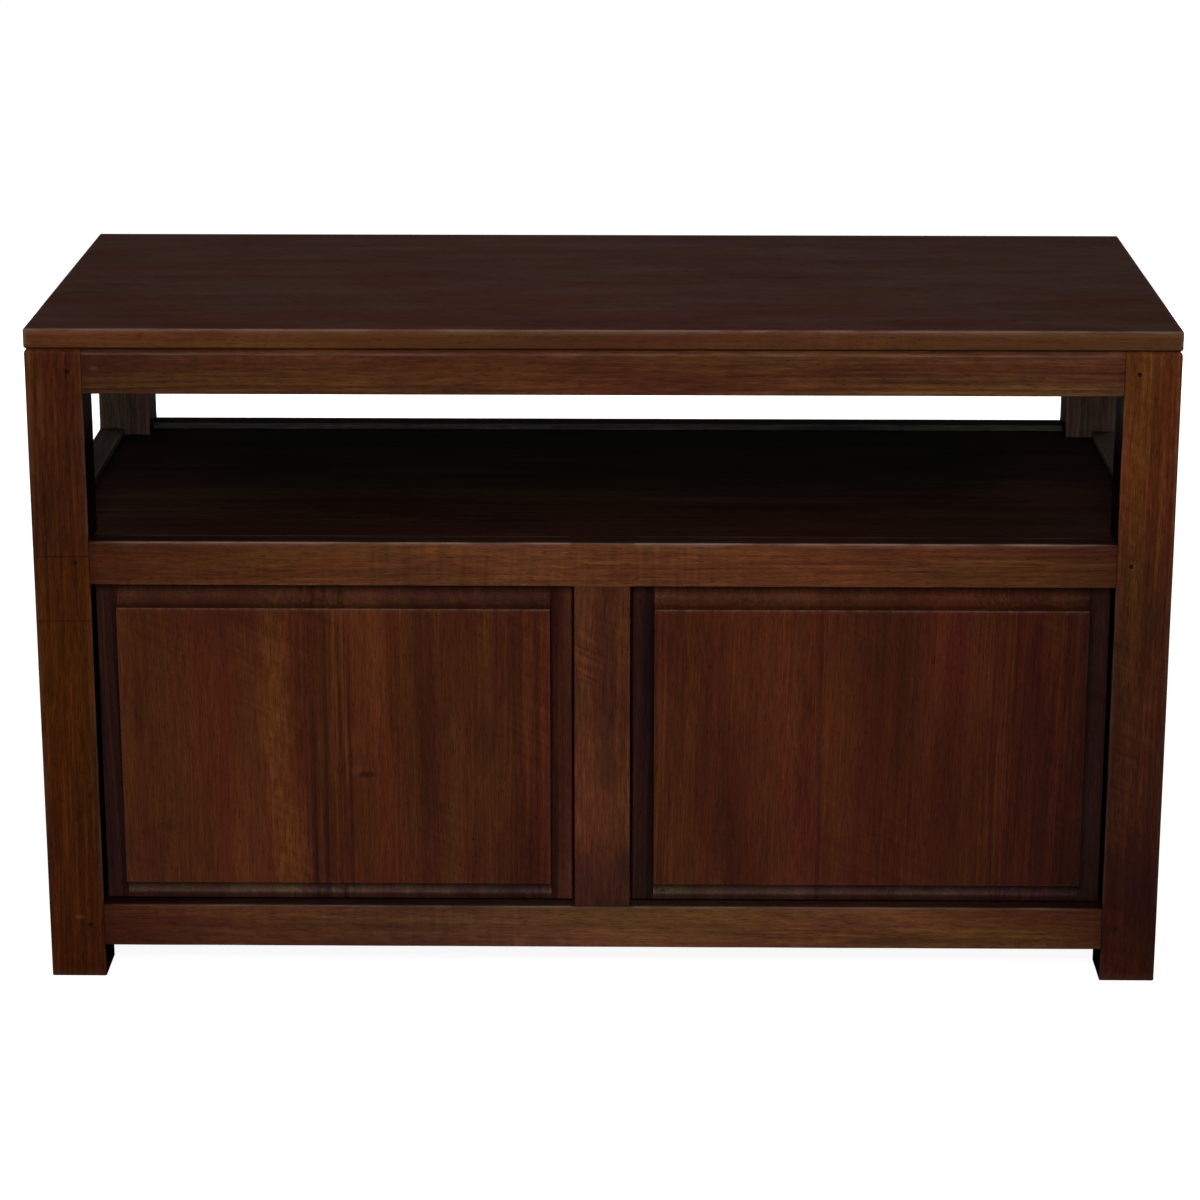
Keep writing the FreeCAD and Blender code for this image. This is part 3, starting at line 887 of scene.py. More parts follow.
@dataclass(frozen=True)
class StainedMahogany:
    """Dark-stained open-pored mahogany in satin lacquer, read from grain, tone and wear with painted light
    and shade.
    """

    name: str = "stained_mahogany_satin"
    # Colours of the stained wood, and factors where it drifts or took more stain.
    dark: Triple = (0.0250, 0.0068, 0.0031)
    middle: Triple = (0.0510, 0.0130, 0.0046)
    light: Triple = (0.0940, 0.0305, 0.0092)
    # Dark of stain gathered in pores and joints, also laid on as painted shade in corners, grooves and gaps.
    clogged: Triple = (0.0060, 0.0026, 0.0020)
    # Paler worn arrises, also laid on as painted highlights.
    rubbed: Triple = (0.1700, 0.1050, 0.0800)
    blotch: Triple = (0.76, 0.76, 0.97)
    red_shift: Triple = (1.05, 0.90, 1.00)
    gold_shift: Triple = (0.98, 1.10, 0.92)
    # Figure: its patterns, what each adds, and where the three colours lie on it.
    drift: Pattern = Pattern((2.2, 9.0, 9.0), 1.5)
    drift_reach: float = 0.014
    rings: Pattern = Pattern((0.8, 70.0, 0.0), 3.0)
    ring_share: float = 0.22
    cloud: Pattern = Pattern((4.5, 26.0, 26.0), 3.0)
    cloud_share: float = 0.34
    streak: Pattern = Pattern((4.0, 330.0, 330.0), 3.0, 0.6)
    streak_share: float = 0.62
    bundle: Pattern = Pattern((0.9, 17.0, 17.0), 1.0, edge=(0.40, 0.62))
    bundle_least: float = 0.25
    fibre: Pattern = Pattern((40.0, 1300.0, 1300.0), 2.0)
    fibre_share: float = 0.30
    figure_lift: float = 0.07
    figure_range: Triple = (0.33, 0.50, 0.70)
    hue: Pattern = Pattern((3.2, 30.0, 30.0), 2.0, edge=(0.36, 0.64))
    # Pores, speckle and blotches.
    fine_pores: Pattern = Pattern((150.0, 2300.0, 2300.0), 1.0, edge=(0.60, 0.72))
    coarse_pores: Pattern = Pattern((85.0, 1050.0, 1050.0), 1.0, edge=(0.64, 0.73))
    pore_share: float = 0.55
    dashes: Pattern = Pattern((60.0, 300.0, 300.0), 4.0, 0.62, (0.36, 0.64))
    blotches: Pattern = Pattern((7.0, 22.0, 22.0), 2.0, edge=(0.52, 0.74))
    blotch_share: float = 0.75
    # Curly wood: a slanted ripple in patches, and one strong patch at a place of its own.
    curl: float = 0.30
    curl_wave: Pattern = Pattern((190.0, 16.0, 16.0), 1.0)
    curl_slant: float = 0.5
    curl_patch: Pattern = Pattern((4.0, 15.0, 15.0), 1.0, edge=(0.48, 0.66))
    curl_place: Pair = (-0.0130, 0.3065)
    curl_size: Pair = (0.016, 0.032)
    curl_rim: Pair = (0.5, 1.3)
    curl_peak: float = 3.0
    # Rubbed arrises and their painted highlight, in broken lengths.
    rub_share: float = 0.60
    broken: Pattern = Pattern((22.0, 160.0, 160.0), 2.0, edge=(0.36, 0.62))
    broken_least: float = 0.35
    # Lacquer: sheen, what dulls it, and the relief under it. The darkest faces have little gloss.
    roughness: Pair = (0.33, 0.47)
    satin: Pattern = Pattern((9.0, 30.0, 30.0), 3.0)
    pore_dulling: float = 0.14
    clog_dulling: float = 0.10
    specular: float = 0.42
    bare_specular: float = 0.05
    bare_tone: Pair = (0.04, 0.12)
    figure_relief: float = 0.5
    pore_relief: float = 0.8
    relief: Pair = (0.22, 0.00035)
    # Marks on the front, soft at the rim and no deeper than the face.
    marks: tuple[Mark, ...] = FRONT_MARKS
    mark_rim: Pair = (0.35, 1.25)
    mark_depth: float = 0.01
    front: float = -0.225

    def material(self) -> Material:
        """Build the material.

        Returns:
            The node material.
        """
        pen = NodePen(self.name)
        grain = pen.wander(pen.attribute("grain"), self.drift, self.drift_reach)
        figure = self._figure(pen, grain)
        pores = pen.larger(pen.patches(grain, self.fine_pores), pen.patches(grain, self.coarse_pores))
        colour = pen.ramp(figure, self.figure_range, (self.dark, self.middle, self.light))
        shift = pen.ramp(pen.noise(grain, self.hue), self.hue.edge, (self.red_shift, self.gold_shift))
        colour = self._curled(pen, grain, pen.stretch(colour, shift))
        # Rubbing with its painted highlight, gathered stain with its painted shade, and speckle.
        rub_highlight, darkening, mottle = pen.split(pen.attribute("wear"))
        colour = pen.mix(pen.times(pores, self.pore_share), colour, self.clogged)
        speckle = pen.times(pen.minus(pen.patches(grain, self.dashes), 0.5), mottle)
        tone = pen.attribute("tone")
        colour = pen.stretch(pen.scale(colour, pen.plus(speckle, 1.0)), tone)
        for mark in self.marks:
            away = self._oval(pen, mark.place, mark.size)
            colour = pen.mix(pen.step(away, *self.mark_rim, mark.share, 0.0), colour, mark.colour)
        colour = self._worn(pen, grain, colour, rub_highlight, darkening)
        gloss = pen.step(pen.split(tone)[0], *self.bare_tone, self.bare_specular, self.specular)
        pen.paint({"Base Color": colour, "Specular IOR Level": gloss})
        self._lacquer(pen, grain, pores, figure, darkening)
        return pen.material

    def _figure(self, pen: NodePen, grain: Socket) -> Socket:
        """Light and dark of the grain: clouds, growth rings about the heart, streaks in bundles and fibres.

        Args:
            pen: the material's pen.
            grain: grain coordinates.

        Returns:
            A value about 0.5.
        """
        along, _, _ = pen.split(grain)
        from_heart = pen.length(pen.stretch(grain, (0.0, 1.0, 1.0)))
        rings = pen.noise(pen.join(along, from_heart, 0.0), self.rings)
        cloud = pen.noise(grain, self.cloud)
        streak = pen.noise(grain, self.streak)
        bundle = pen.patches(grain, self.bundle, self.bundle_least)
        fibre = pen.noise(grain, self.fibre)
        lines = pen.times(pen.minus(streak, 0.5), pen.times(bundle, self.streak_share))
        broad = pen.plus(pen.times(rings, self.ring_share), pen.times(cloud, self.cloud_share))
        fine = pen.plus(lines, pen.plus(pen.times(fibre, self.fibre_share), self.figure_lift))
        return pen.plus(broad, fine)

    def _oval(self, pen: NodePen, place: Pair, size: Pair) -> Socket:
        """Distance from a place on the front, which is 1 on the rim of an oval of this half size."""
        away = pen.vector("SUBTRACT", pen.object_place(), (place[0], self.front, place[1]))
        return pen.length(pen.stretch(away, (1.0 / size[0], 1.0 / self.mark_depth, 1.0 / size[1])))

    def _curled(self, pen: NodePen, grain: Socket, colour: Socket) -> Socket:
        """Cross ripple of curly wood in patches, and cloudy purple blotches where stain took more.

        Args:
            pen: the material's pen.
            grain: grain coordinates.
            colour: the wood's colour so far.

        Returns:
            The colour with ripple and blotches.
        """
        along, across, depth = pen.split(grain)
        slanted = pen.join(pen.plus(along, pen.times(across, self.curl_slant)), across, depth)
        wave = pen.noise(slanted, self.curl_wave)
        spot = pen.step(self._oval(pen, self.curl_place, self.curl_size), *self.curl_rim, self.curl_peak, 0.0)
        patch = pen.larger(pen.patches(grain, self.curl_patch), spot)
        lift = pen.times(pen.minus(wave, 0.5), pen.times(patch, 2 * self.curl))
        colour = pen.scale(colour, pen.plus(lift, 1.0))
        cloud = pen.patches(grain, self.blotches, 0.0, self.blotch_share)
        return pen.mix(cloud, colour, self.blotch, Blend.TINT)

    def _worn(self, pen: NodePen, grain: Socket, colour: Socket, rub_highlight: Socket, darkening: Socket) -> Socket:
        """Gathered stain and painted shade in corners; arrises sanded paler in broken lengths, also painted
        highlights.

        Args:
            pen: the material's pen.
            grain: grain coordinates.
            colour: the wood's colour so far.
            rub_highlight: how rubbed the surface is, with the painted highlight of its arrises.
            darkening: how much stain has gathered, with the painted shade.

        Returns:
            The worn colour with its painted highlight and shade.
        """
        broken = pen.patches(grain, self.broken, self.broken_least)
        pale_highlight = pen.times(pen.times(rub_highlight, broken), self.rub_share)
        return pen.mix(darkening, pen.mix(pale_highlight, colour, self.rubbed), self.clogged)

    def _lacquer(self, pen: NodePen, grain: Socket, pores: Socket, figure: Socket, darkening: Socket) -> None:
        """Satin sheen that varies with the rubbing-out, and pores that sink through the film.

        Args:
            pen: the material's pen.
            grain: grain coordinates.
            pores: where the pores are.
            figure: light and dark of the grain.
            darkening: how much stain has gathered, with the painted shade.
        """
        satin = pen.patches(grain, self.satin, *self.roughness)
        dull = pen.plus(pen.times(pores, self.pore_dulling), pen.times(darkening, self.clog_dulling))
        pen.paint({"Roughness": pen.plus(satin, dull)})
        height = pen.minus(pen.times(figure, self.figure_relief), pen.times(pores, self.pore_relief))
        pen.bump(height, *self.relief)


@dataclass(frozen=True)
class PlainTimber:
    """Unstained or lightly oiled timber of hidden boards, with its grain along one axis of the frame."""

    name: str
    axis: Axis
    dark: Triple
    light: Triple
    drift: Pattern = Pattern((3.0, 12.0, 12.0), 1.5)
    drift_reach: float = 0.012
    ribbon: Pattern = Pattern((1.6, 70.0, 70.0), 2.0)
    ribbon_share: float = 0.6
    streak: Pattern = Pattern((7.0, 420.0, 420.0), 3.0, 0.6)
    streak_share: float = 0.4
    figure_range: Pair = (0.30, 0.70)
    pores: Pattern = Pattern((150.0, 2100.0, 2100.0), 1.0, edge=(0.60, 0.72))
    pore_share: float = 0.35
    pore_darkness: float = 0.45
    roughness: Pair = (0.52, 0.68)
    specular: float = 0.3
    streak_relief: float = 0.5
    relief: Pair = (0.3, 0.0004)
    stain: Triple = (0.0200, 0.0075, 0.0042)
    stain_back_to: float = -0.1985
    stain_rim: float = 0.001
    stain_ragged: float = 0.003

    def material(self) -> Material:
        """Build the material: ribbons, streaks and pores along the grain, front ends caught by stain.

        Returns:
            The node material.
        """
        pen = NodePen(self.name)
        parts = pen.split(pen.object_place())
        grain = pen.wander(pen.turned(parts, self.axis), self.drift, self.drift_reach)
        ribbon = pen.noise(grain, self.ribbon)
        streak = pen.noise(grain, self.streak)
        pores = pen.patches(grain, self.pores)
        figure = pen.plus(pen.times(ribbon, self.ribbon_share), pen.times(streak, self.streak_share))
        colour = pen.ramp(figure, self.figure_range, (self.dark, self.light))
        pore_stain = tuple(self.pore_darkness * part for part in self.dark)
        colour = pen.mix(pen.times(pores, self.pore_share), colour, pore_stain)
        ragged = pen.plus(parts[Axis.Y.value], pen.times(streak, self.stain_ragged))
        overrun = pen.step(ragged, self.stain_back_to, self.stain_back_to + self.stain_rim, 1.0, 0.0)
        colour = pen.mix(overrun, colour, self.stain)
        rough = pen.step(streak, *self.streak.edge, *self.roughness)
        pen.paint({"Base Color": colour, "Roughness": rough, "Specular IOR Level": self.specular})
        pen.bump(pen.minus(pen.times(streak, self.streak_relief), pores), *self.relief)
        return pen.material


@dataclass(frozen=True)
class VeneeredBoard:
    """Thin veneered board: rotary-cut face with wide flames, and plies showing on its edges."""

    name: str
    axis: Axis
    thickness_axis: Axis
    dark: Triple
    light: Triple
    flame: Pattern = Pattern((1.1, 5.5, 5.5), 2.0)
    flame_bands: float = 13.0
    flame_share: float = 0.45
    streak: Pattern = Pattern((6.0, 500.0, 500.0), 3.0, 0.6)
    streak_share: float = 0.55
    figure_range: Pair = (0.15, 0.80)
    ply: float = 0.0015
    glue_line: Pair = (0.35, 0.65)
    glue_shade: float = 0.86
    roughness: Pair = (0.5, 0.66)
    specular: float = 0.3
    relief: Pair = (0.2, 0.0003)

    def material(self) -> Material:
        """Build the material: bands of a noise-bent field for the flames, and layers through the thickness.

        Returns:
            The node material.
        """
        pen = NodePen(self.name)
        parts = pen.split(pen.object_place())
        grain = pen.turned(parts, self.axis)
        flame = pen.zigzag(pen.times(pen.noise(grain, self.flame), self.flame_bands), 1.0)
        streak = pen.noise(grain, self.streak)
        figure = pen.plus(pen.times(flame, self.flame_share), pen.times(streak, self.streak_share))
        colour = pen.ramp(figure, self.figure_range, (self.dark, self.light))
        layer = pen.zigzag(parts[self.thickness_axis.value], self.ply)
        start, finish = (share * self.ply for share in self.glue_line)
        colour = pen.scale(colour, pen.step(layer, start, finish, self.glue_shade, 1.0))
        rough = pen.step(streak, *self.streak.edge, *self.roughness)
        pen.paint({"Base Color": colour, "Roughness": rough, "Specular IOR Level": self.specular})
        pen.bump(streak, *self.relief)
        return pen.material


@dataclass(frozen=True)
class PegEndGrain:
    """Dark end grain of the tenon pegs, with a ring of gathered stain."""

    name: str = "peg_end_grain"
    dark: Triple = (0.0028, 0.0014, 0.0010)
    light: Triple = (0.0085, 0.0036, 0.0020)
    speck: Pattern = Pattern((1400.0, 1400.0, 1400.0), 3.0, 0.6)
    speck_range: Pair = (0.32, 0.68)
    roughness: Pair = (0.40, 0.58)
    relief: Pair = (0.35, 0.0002)

    def material(self) -> Material:
        """Build the material: fine pores in every direction, darker where the skin is clogged.

        Returns:
            The node material.
        """
        pen = NodePen(self.name)
        speck = pen.noise(pen.attribute("grain"), self.speck)
        colour = pen.ramp(speck, self.speck_range, (self.dark, self.light))
        _, darkening, _ = pen.split(pen.attribute("wear"))
        rough = pen.step(speck, *self.speck.edge, *self.roughness)
        pen.paint({"Base Color": pen.mix(darkening, colour, self.dark), "Roughness": rough})
        pen.bump(speck, *self.relief)
        return pen.material


@dataclass(frozen=True)
class ZincSteel:
    """Zinc-plated steel of the screws, with a faint yellow cast and fine turning marks."""

    name: str = "zinc_steel"
    dark: Triple = (0.38, 0.36, 0.31)
    light: Triple = (0.62, 0.60, 0.54)
    cloud: Pattern = Pattern((260.0, 260.0, 260.0), 3.0)
    scratch: Pattern = Pattern((3000.0, 900.0, 3000.0), 2.0)
    roughness: Pair = (0.26, 0.44)
    relief: Pair = (0.15, 0.0001)

    def material(self) -> Material:
        """Build the material: cloudy plating over fine scratches.

        Returns:
            The node material.
        """
        pen = NodePen(self.name)
        place = pen.object_place()
        scratch = pen.noise(place, self.scratch)
        colour = pen.ramp(pen.noise(place, self.cloud), self.cloud.edge, (self.dark, self.light))
        rough = pen.step(scratch, *self.scratch.edge, *self.roughness)
        pen.paint({"Base Color": colour, "Roughness": rough, "Metallic": 1.0})
        pen.bump(scratch, *self.relief)
        return pen.material


class Shop:
    """The finishes, and the bookkeeping of every piece that is handed over."""

    def __init__(self, frame: dict) -> None:
        """Mix the finishes that several sub-assemblies share.

        Args:
            frame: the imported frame.
        """
        self.frame = frame
        self.show_wood = StainedMahogany().material()
        self.calm_wood = StainedMahogany(
            "stained_mahogany_top",
            dark=(0.0350, 0.0092, 0.0036),
            light=(0.0720, 0.0208, 0.0064),
            blotch=(0.84, 0.84, 0.98),
        ).material()
        self.dull_wood = StainedMahogany(
            "stained_mahogany_dull", roughness=(0.52, 0.66), specular=0.12, marks=()
        ).material()
        self.peg = PegEndGrain().material()
        self.steel = ZincSteel().material()

    def hand_over(self, piece: bpy.types.Object, body: str, node: str, slot: Slot) -> None:
        """Let a piece ride on its body in place of a CAD node.

        Args:
            piece: the new piece.
            body: name of the CAD body.
            node: the CAD node that it stands for.
            slot: the record's material slot; not used.
        """
        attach(piece, body)
        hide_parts(node)
        LOG.info("%s: %d faces on %s for %s", piece.name, len(piece.data.polygons), body, node)

    def dress(self, node: str, material: Material) -> None:
        """Give a CAD node its finish."""
        self.frame["nodes"][node].material_slots[0].material = material
        LOG.info("%s: finished as %s", node, material.name)

    def board(self, node: str, board: Board) -> None:
        """Make a carcass board in the show wood and hand it over for its node."""
        piece = board.skin().to_object(f"{node}_board", self.show_wood)
        self.hand_over(piece, "carcass", node, Slot.SHOW_WOOD)


LEG_TONES: dict[str, ToneStops] = {
    "front_left_leg": (
        (0.00, (0.68, 0.44, 0.13)),
        (0.40, (0.95, 0.83, 0.26)),
        (0.66, (0.94, 0.83, 0.34)),
        (0.70, (0.81, 0.70, 0.61)),
        (1.00, (0.76, 0.70, 0.62)),
    ),
    "front_right_leg": (
        (0.00, (0.57, 0.43, 0.49)),
        (0.15, (0.37, 0.26, 0.35)),
        (0.32, (0.70, 0.72, 0.83)),
        (0.62, (0.83, 0.88, 0.87)),
        (0.80, (1.18, 1.06, 0.84)),
        (1.00, (1.30, 1.40, 0.95)),
    ),
    "rear_left_leg": ((0.0, (1.15, 1.25, 1.30)),),
    "rear_right_leg": ((0.0, (1.15, 1.25, 1.30)),),
}


RAIL_TONES: dict[str, ToneStops] = {
    # Front rails paler towards the middle: their colour plus painted light; the bottom rail's bluish lift:
    # painted floor reflection.
    "front_top_rail": ((0.0, (0.76, 0.97, 1.01)), (0.5, (1.12, 1.30, 1.23)), (1.0, (1.06, 1.37, 1.66))),
    "front_middle_rail": (
        (0.00, (0.82, 0.86, 0.73)),
        (0.28, (1.55, 1.88, 1.70)),
        (0.50, (1.32, 1.75, 1.55)),
        (0.72, (1.60, 1.95, 1.72)),
        (1.00, (0.90, 0.93, 1.05)),
    ),
    "front_bottom_rail": (
        (0.00, (0.76, 0.70, 0.76)),
        (0.12, (1.10, 1.22, 1.45)),
        (0.30, (1.12, 1.40, 1.98)),
        (0.42, (1.90, 2.85, 3.05)),
        (0.85, (1.50, 1.92, 1.84)),
        (1.00, (0.84, 0.80, 0.88)),
    ),
    "front_mullion": (
        (0.00, (0.72, 0.82, 1.28)),
        (0.14, (0.90, 0.95, 1.36)),
        (0.24, (1.36, 1.48, 1.60)),
        (0.46, (1.36, 1.50, 1.60)),
        (0.62, (0.98, 1.08, 1.26)),
        (1.00, (1.00, 1.04, 1.12)),
    ),
    # Painted shade: the rear middle rail is dark at the back of the bay; its faces are set again below.
    "rear_middle_rail": ((0.0, (0.08, 0.12, 0.19)),),
}
# Painted shade and sheen of the rails' faces in the bay and under the drawers; rubbing and its painted
# highlight where it isn't 1.
FRONT_LIP_SHADE = (FaceStain(Axis.Z, 1, (0.26, 0.34, 0.60)),)
SIDE_LIP_SHEEN = (0.80, 2.00, 4.60)
RAIL_SHADING: dict[str, tuple[FaceStain, ...]] = {
    "front_middle_rail": FRONT_LIP_SHADE,
    "front_bottom_rail": FRONT_LIP_SHADE,
    "rear_middle_rail": (
        # The outer face goes back to the plain colour; the face towards the bay gets a pale grey painted
        # highlight.
        FaceStain(Axis.Y, 1, (16.0, 11.0, 7.0)),
        FaceStain(Axis.Y, -1, (12.0, 30.0, 45.0)),
    ),
    "left_middle_rail": (FaceStain(Axis.X, 1, SIDE_LIP_SHEEN), FaceStain(Axis.Z, 1, SIDE_LIP_SHEEN)),
    "right_middle_rail": (FaceStain(Axis.X, -1, SIDE_LIP_SHEEN), FaceStain(Axis.Z, 1, SIDE_LIP_SHEEN)),
}
RAIL_RUB_HIGHLIGHT = {"front_middle_rail": 1.4, "front_bottom_rail": 0.60}
RAIL_RUB_HIGHLIGHT |= {f"{End.REAR.word}_{level.word}_rail": 0.25 for level in Level}


@dataclass
class LegFrame:
    """Four legs, the rails between them and the mullion, with arrises that stop at each joint."""

    shop: Shop
    leg_seed: int = 11
    rail_seed: int = 21
    inset: float = 0.0002
    housed: float = 0.0010
    groove: float = 0.0042
    foot_ease: float = 0.0012
    leg_ease: float = 0.0016
    rail_ease: float = 0.0013
    leg_mids: int = 4
    # Rubbing of the uprights' arrises, also their painted highlight.
    upright_rub: float = 0.22
    rear_leg_rub: float = 1.0
    mullion_rub: float = 0.0
    upright_mottle: float = 0.32
    joint_shadow: float = 0.32
    left_leg_seams: tuple[float, ...] = (0.396, 0.337)
    plain_rail: ToneStops = ((0.0, (1.25, 1.35, 1.35)),)
    # Painted sheen on the rear legs' fronts, and painted shade on the legs' faces towards the bay.
    rear_leg_front: Triple = (1.55, 3.25, 7.0)
    leg_inside: Triple = (0.05, 0.07, 0.11)

    def build(self) -> None:
        """Make every leg and rail and the mullion."""
        seeds = itertools.count(self.leg_seed)
        for end, side in itertools.product(End, Side):
            self._leg(end, side, next(seeds))
        seeds = itertools.count(self.rail_seed)
        for level in Level:
            for place in (*End, *Side):
                self._rail(place, level, next(seeds))
        look = {"upper_rub": self.mullion_rub, "lower_rub": self.mullion_rub, "mottle": self.upright_mottle}
        rails = ["front_bottom_rail", "front_middle_rail"]
        self._butted("front_mullion", Axis.Z, rails, next(seeds), **look)

    def _leg(self, end: End, side: Side, seed: int) -> None:
        """One leg, square where rails meet it.

        Args:
            end: front or rear.
            side: left or right.
            seed: the board's seed.
        """
        node = f"{end.word}_{side.word}_leg"
        # Painted shade on the face towards the bay, and a paler, greyer painted sheen on a rear leg's front.
        stains = [FaceStain(Axis.X, -side.value, self.leg_inside)]
        if end is End.REAR:
            stains.append(FaceStain(Axis.Y, -1, self.rear_leg_front))
        rub_highlight = self.upright_rub if end is End.FRONT else self.rear_leg_rub
        board = Board(
            *corners_of(node),
            Axis.Z,
            seed,
            ease=self.leg_ease,
            end_ease=self.foot_ease,
            head_ease=self.groove,
            inset=self.inset,
            stops=self._leg_stops(end, side),
            tone=LEG_TONES[node],
            seams=self.left_leg_seams if node == "front_left_leg" else (),
            mids=self.leg_mids,
            upper_rub=rub_highlight,
            lower_rub=rub_highlight,
            stains=tuple(stains),
            mottle=self.upright_mottle,
        )
        self.shop.board(node, board)

    @staticmethod
    def _leg_stops(end: End, side: Side) -> list[ArrisStop]:
        """Stretches of a leg's two arrises that its rails cover.

        Args:
            end: front or rear.
            side: left or right.

        Returns:
            A stop for each rail.
        """
        covered = {end: Arris((-side.value, end.value)), side: Arris((side.value, -end.value))}
        stops = []
        for level, (rail, arris) in itertools.product(Level, covered.items()):
            low, high = corners_of(f"{rail.word}_{level.word}_rail")
            stops.append(ArrisStop(arris, low[2], high[2]))
        return stops

    def _butted(self, node: str, axis: Axis, ends: list[str], seed: int, **more: object) -> None:
        """Board tenoned between two others, housed a little in both so that no gap shows.

        Args:
            node: its CAD node.
            axis: direction of its run.
            ends: the nodes at its low and its high end.
            seed: the board's seed.
            more: further fields of the board.
        """
        run = axis.value
        low, high = corners_of(node)
        low[run] = corners_of(ends[0])[1][run] - self.housed
        high[run] = corners_of(ends[1])[0][run] + self.housed
        board = Board(
            low,
            high,
            axis,
            seed,
            ease=self.rail_ease,
            inset=self.inset,
            tone=RAIL_TONES.get(node, self.plain_rail),
            joint_shadow=self.joint_shadow,
            **more,
        )
        self.shop.board(node, board)

    def _rail(self, place: End | Side, level: Level, seed: int) -> None:
        """Rail between two legs, along the front, the rear or one side.

        Args:
            place: the end or side that it runs along.
            level: top, middle or bottom.
            seed: the board's seed.
        """
        cross = isinstance(place, End)
        legs = [(place, side) for side in Side] if cross else [(end, place) for end in End]
        stops = []
        if place is End.FRONT and level is not Level.TOP:
            low, high = corners_of("front_mullion")
            arris = Arris.LOW_HIGH if level is Level.BOTTOM else Arris.LOW_LOW
            stops = [ArrisStop(arris, low[0], high[0])]
        node = f"{place.word}_{level.word}_rail"
        self._butted(
            node,
            Axis.X if cross else Axis.Y,
            [f"{end.word}_{side.word}_leg" for end, side in legs],
            seed,
            stops=stops,
            upper_rub=RAIL_RUB_HIGHLIGHT.get(node, 1.0),
            stains=RAIL_SHADING.get(node, ()),
            crest=self.groove if level is Level.TOP else 0.0,
            crest_arris=Arris((place.value, 1) if cross else (1, place.value)),
        )


@dataclass
class TableTop:
    """Flush top with a rounded upper arris and a chamfer below that forms the groove over the rails."""

    shop: Shop
    node: str = "table_top"
    seed: int = 5
    round_over: float = 0.0020
    round_rings: int = 7
    edge_rings: int = 5
    chamfer: float = 0.0018
    corner: float = 0.0018
    least_corner: float = 0.0003
    cells: tuple[int, int] = (60, 26)
    hollow: float = 0.00012
    hollow_margin: float = 0.02
    tone: ToneStops = ((0.0, (1.22, 1.22, 1.15)), (0.5, (1.30, 1.42, 2.10)), (1.0, (1.08, 1.22, 1.52)))
    back_lift: float = 0.22
    edge_tone: ToneStops = ((0.0, (1.32, 1.70, 1.41)), (0.5, (0.92, 1.18, 1.14)), (1.0, (1.15, 1.50, 1.70)))
    edge_share: float = 0.4
    rub_reach: float = 0.0012
    chamfer_clog: float = 0.9

    def rings(self, thickness: float) -> Array:
        """Height and drawing-in of each ring from the underside to the upper face.

        A straight chamfer, the upright edge, then a quarter round that stands on it.

        Args:
            thickness: of the board.

        Returns:
            Array of shape (rings, 2): height, drawing-in.
        """
        share = np.linspace(0.0, 1.0, 3)
        upright = np.linspace(self.chamfer, thickness - self.round_over, self.edge_rings)[1:-1]
        draw, drop = quarter_round(self.round_over, self.round_rings)
        runs = [
            (self.chamfer * share, self.chamfer * share[::-1]),
            (upright, np.zeros_like(upright)),
            (thickness - drop, draw),
        ]
        return np.concatenate([np.stack(run, axis=1) for run in runs])

    def build(self) -> None:
        """Stack the rings, close them with two grids, and hand the top over."""
        rng = np.random.default_rng(self.seed)
        low, high = corners_of(self.node)
        half, middle = (high - low) / 2, (high + low) / 2
        height, draw = self.rings(high[2] - low[2]).T
        radius = np.repeat(np.maximum(self.corner - draw, self.least_corner)[:, None], len(Arris), axis=1)
        plan = LoopPlan(half[0] - draw, half[1] - draw, radius, *self.cells)
        x, y = plan.outline()
        z = np.repeat((low[2] + height)[:, None], x.shape[1], axis=1)
        points, faces = close_stack(np.stack([middle[0] + x, middle[1] + y, z], axis=-1), plan.cap_shape)
        inward = np.clip(edge_distance(points, low, high) / self.hollow_margin, 0.0, 1.0)
        uneven = 0.5 * (1 + ripple(rng, points[:, 0], points[:, 1]))
        points[:, 2] -= self.hollow * uneven * inward * (points[:, 2] > middle[2])
        grain = log_place(points, Axis.X, rng)
        skin = Skin(points, faces, grain, self.stained(points), self.wear(points))
        piece = skin.to_object("table_top_board", self.shop.calm_wood)
        self.shop.hand_over(piece, "carcass", self.node, Slot.SHOW_WOOD)

    def stained(self, points: Array) -> Array:
        """Stain of the upper face, paler towards the back, and of the edges below it.

        Args:
            points: the top's points.

        Returns:
            Factors of shape (points, 3).
        """
        low, high = corners_of(self.node)
        share = (points[:, 0] - low[0]) / (high[0] - low[0])
        behind = points[:, 1:2] - (high[1] + low[1]) / 2
        face = tone_along(share, self.tone) * (1 + self.back_lift * behind / (high[1] - low[1]))
        upright = (points[:, 2] < high[2] - self.edge_share * self.round_over)[:, None]
        return np.where(upright, tone_along(share, self.edge_tone), face)

    def wear(self, points: Array) -> Array:
        """Rubbed upper arris with its painted highlight, and painted shade in the groove under the chamfer.

        Args:
            points: the top's points.

        Returns:
            Array of shape (points, 3): rubbed with the painted highlight, painted shade, no speckle.
        """
        low, high = corners_of(self.node)
        gap = edge_distance(points, low, high) - self.edge_share * self.round_over
        rubbed = np.exp(-np.maximum(gap, 0.0) / self.rub_reach)
        clogged = np.clip(1 - (points[:, 2] - low[2]) / self.chamfer, 0.0, 1.0) * self.chamfer_clog
        above = points[:, 2] > low[2] + self.chamfer
        return np.stack([rubbed * above, clogged, np.zeros_like(clogged)], axis=1)


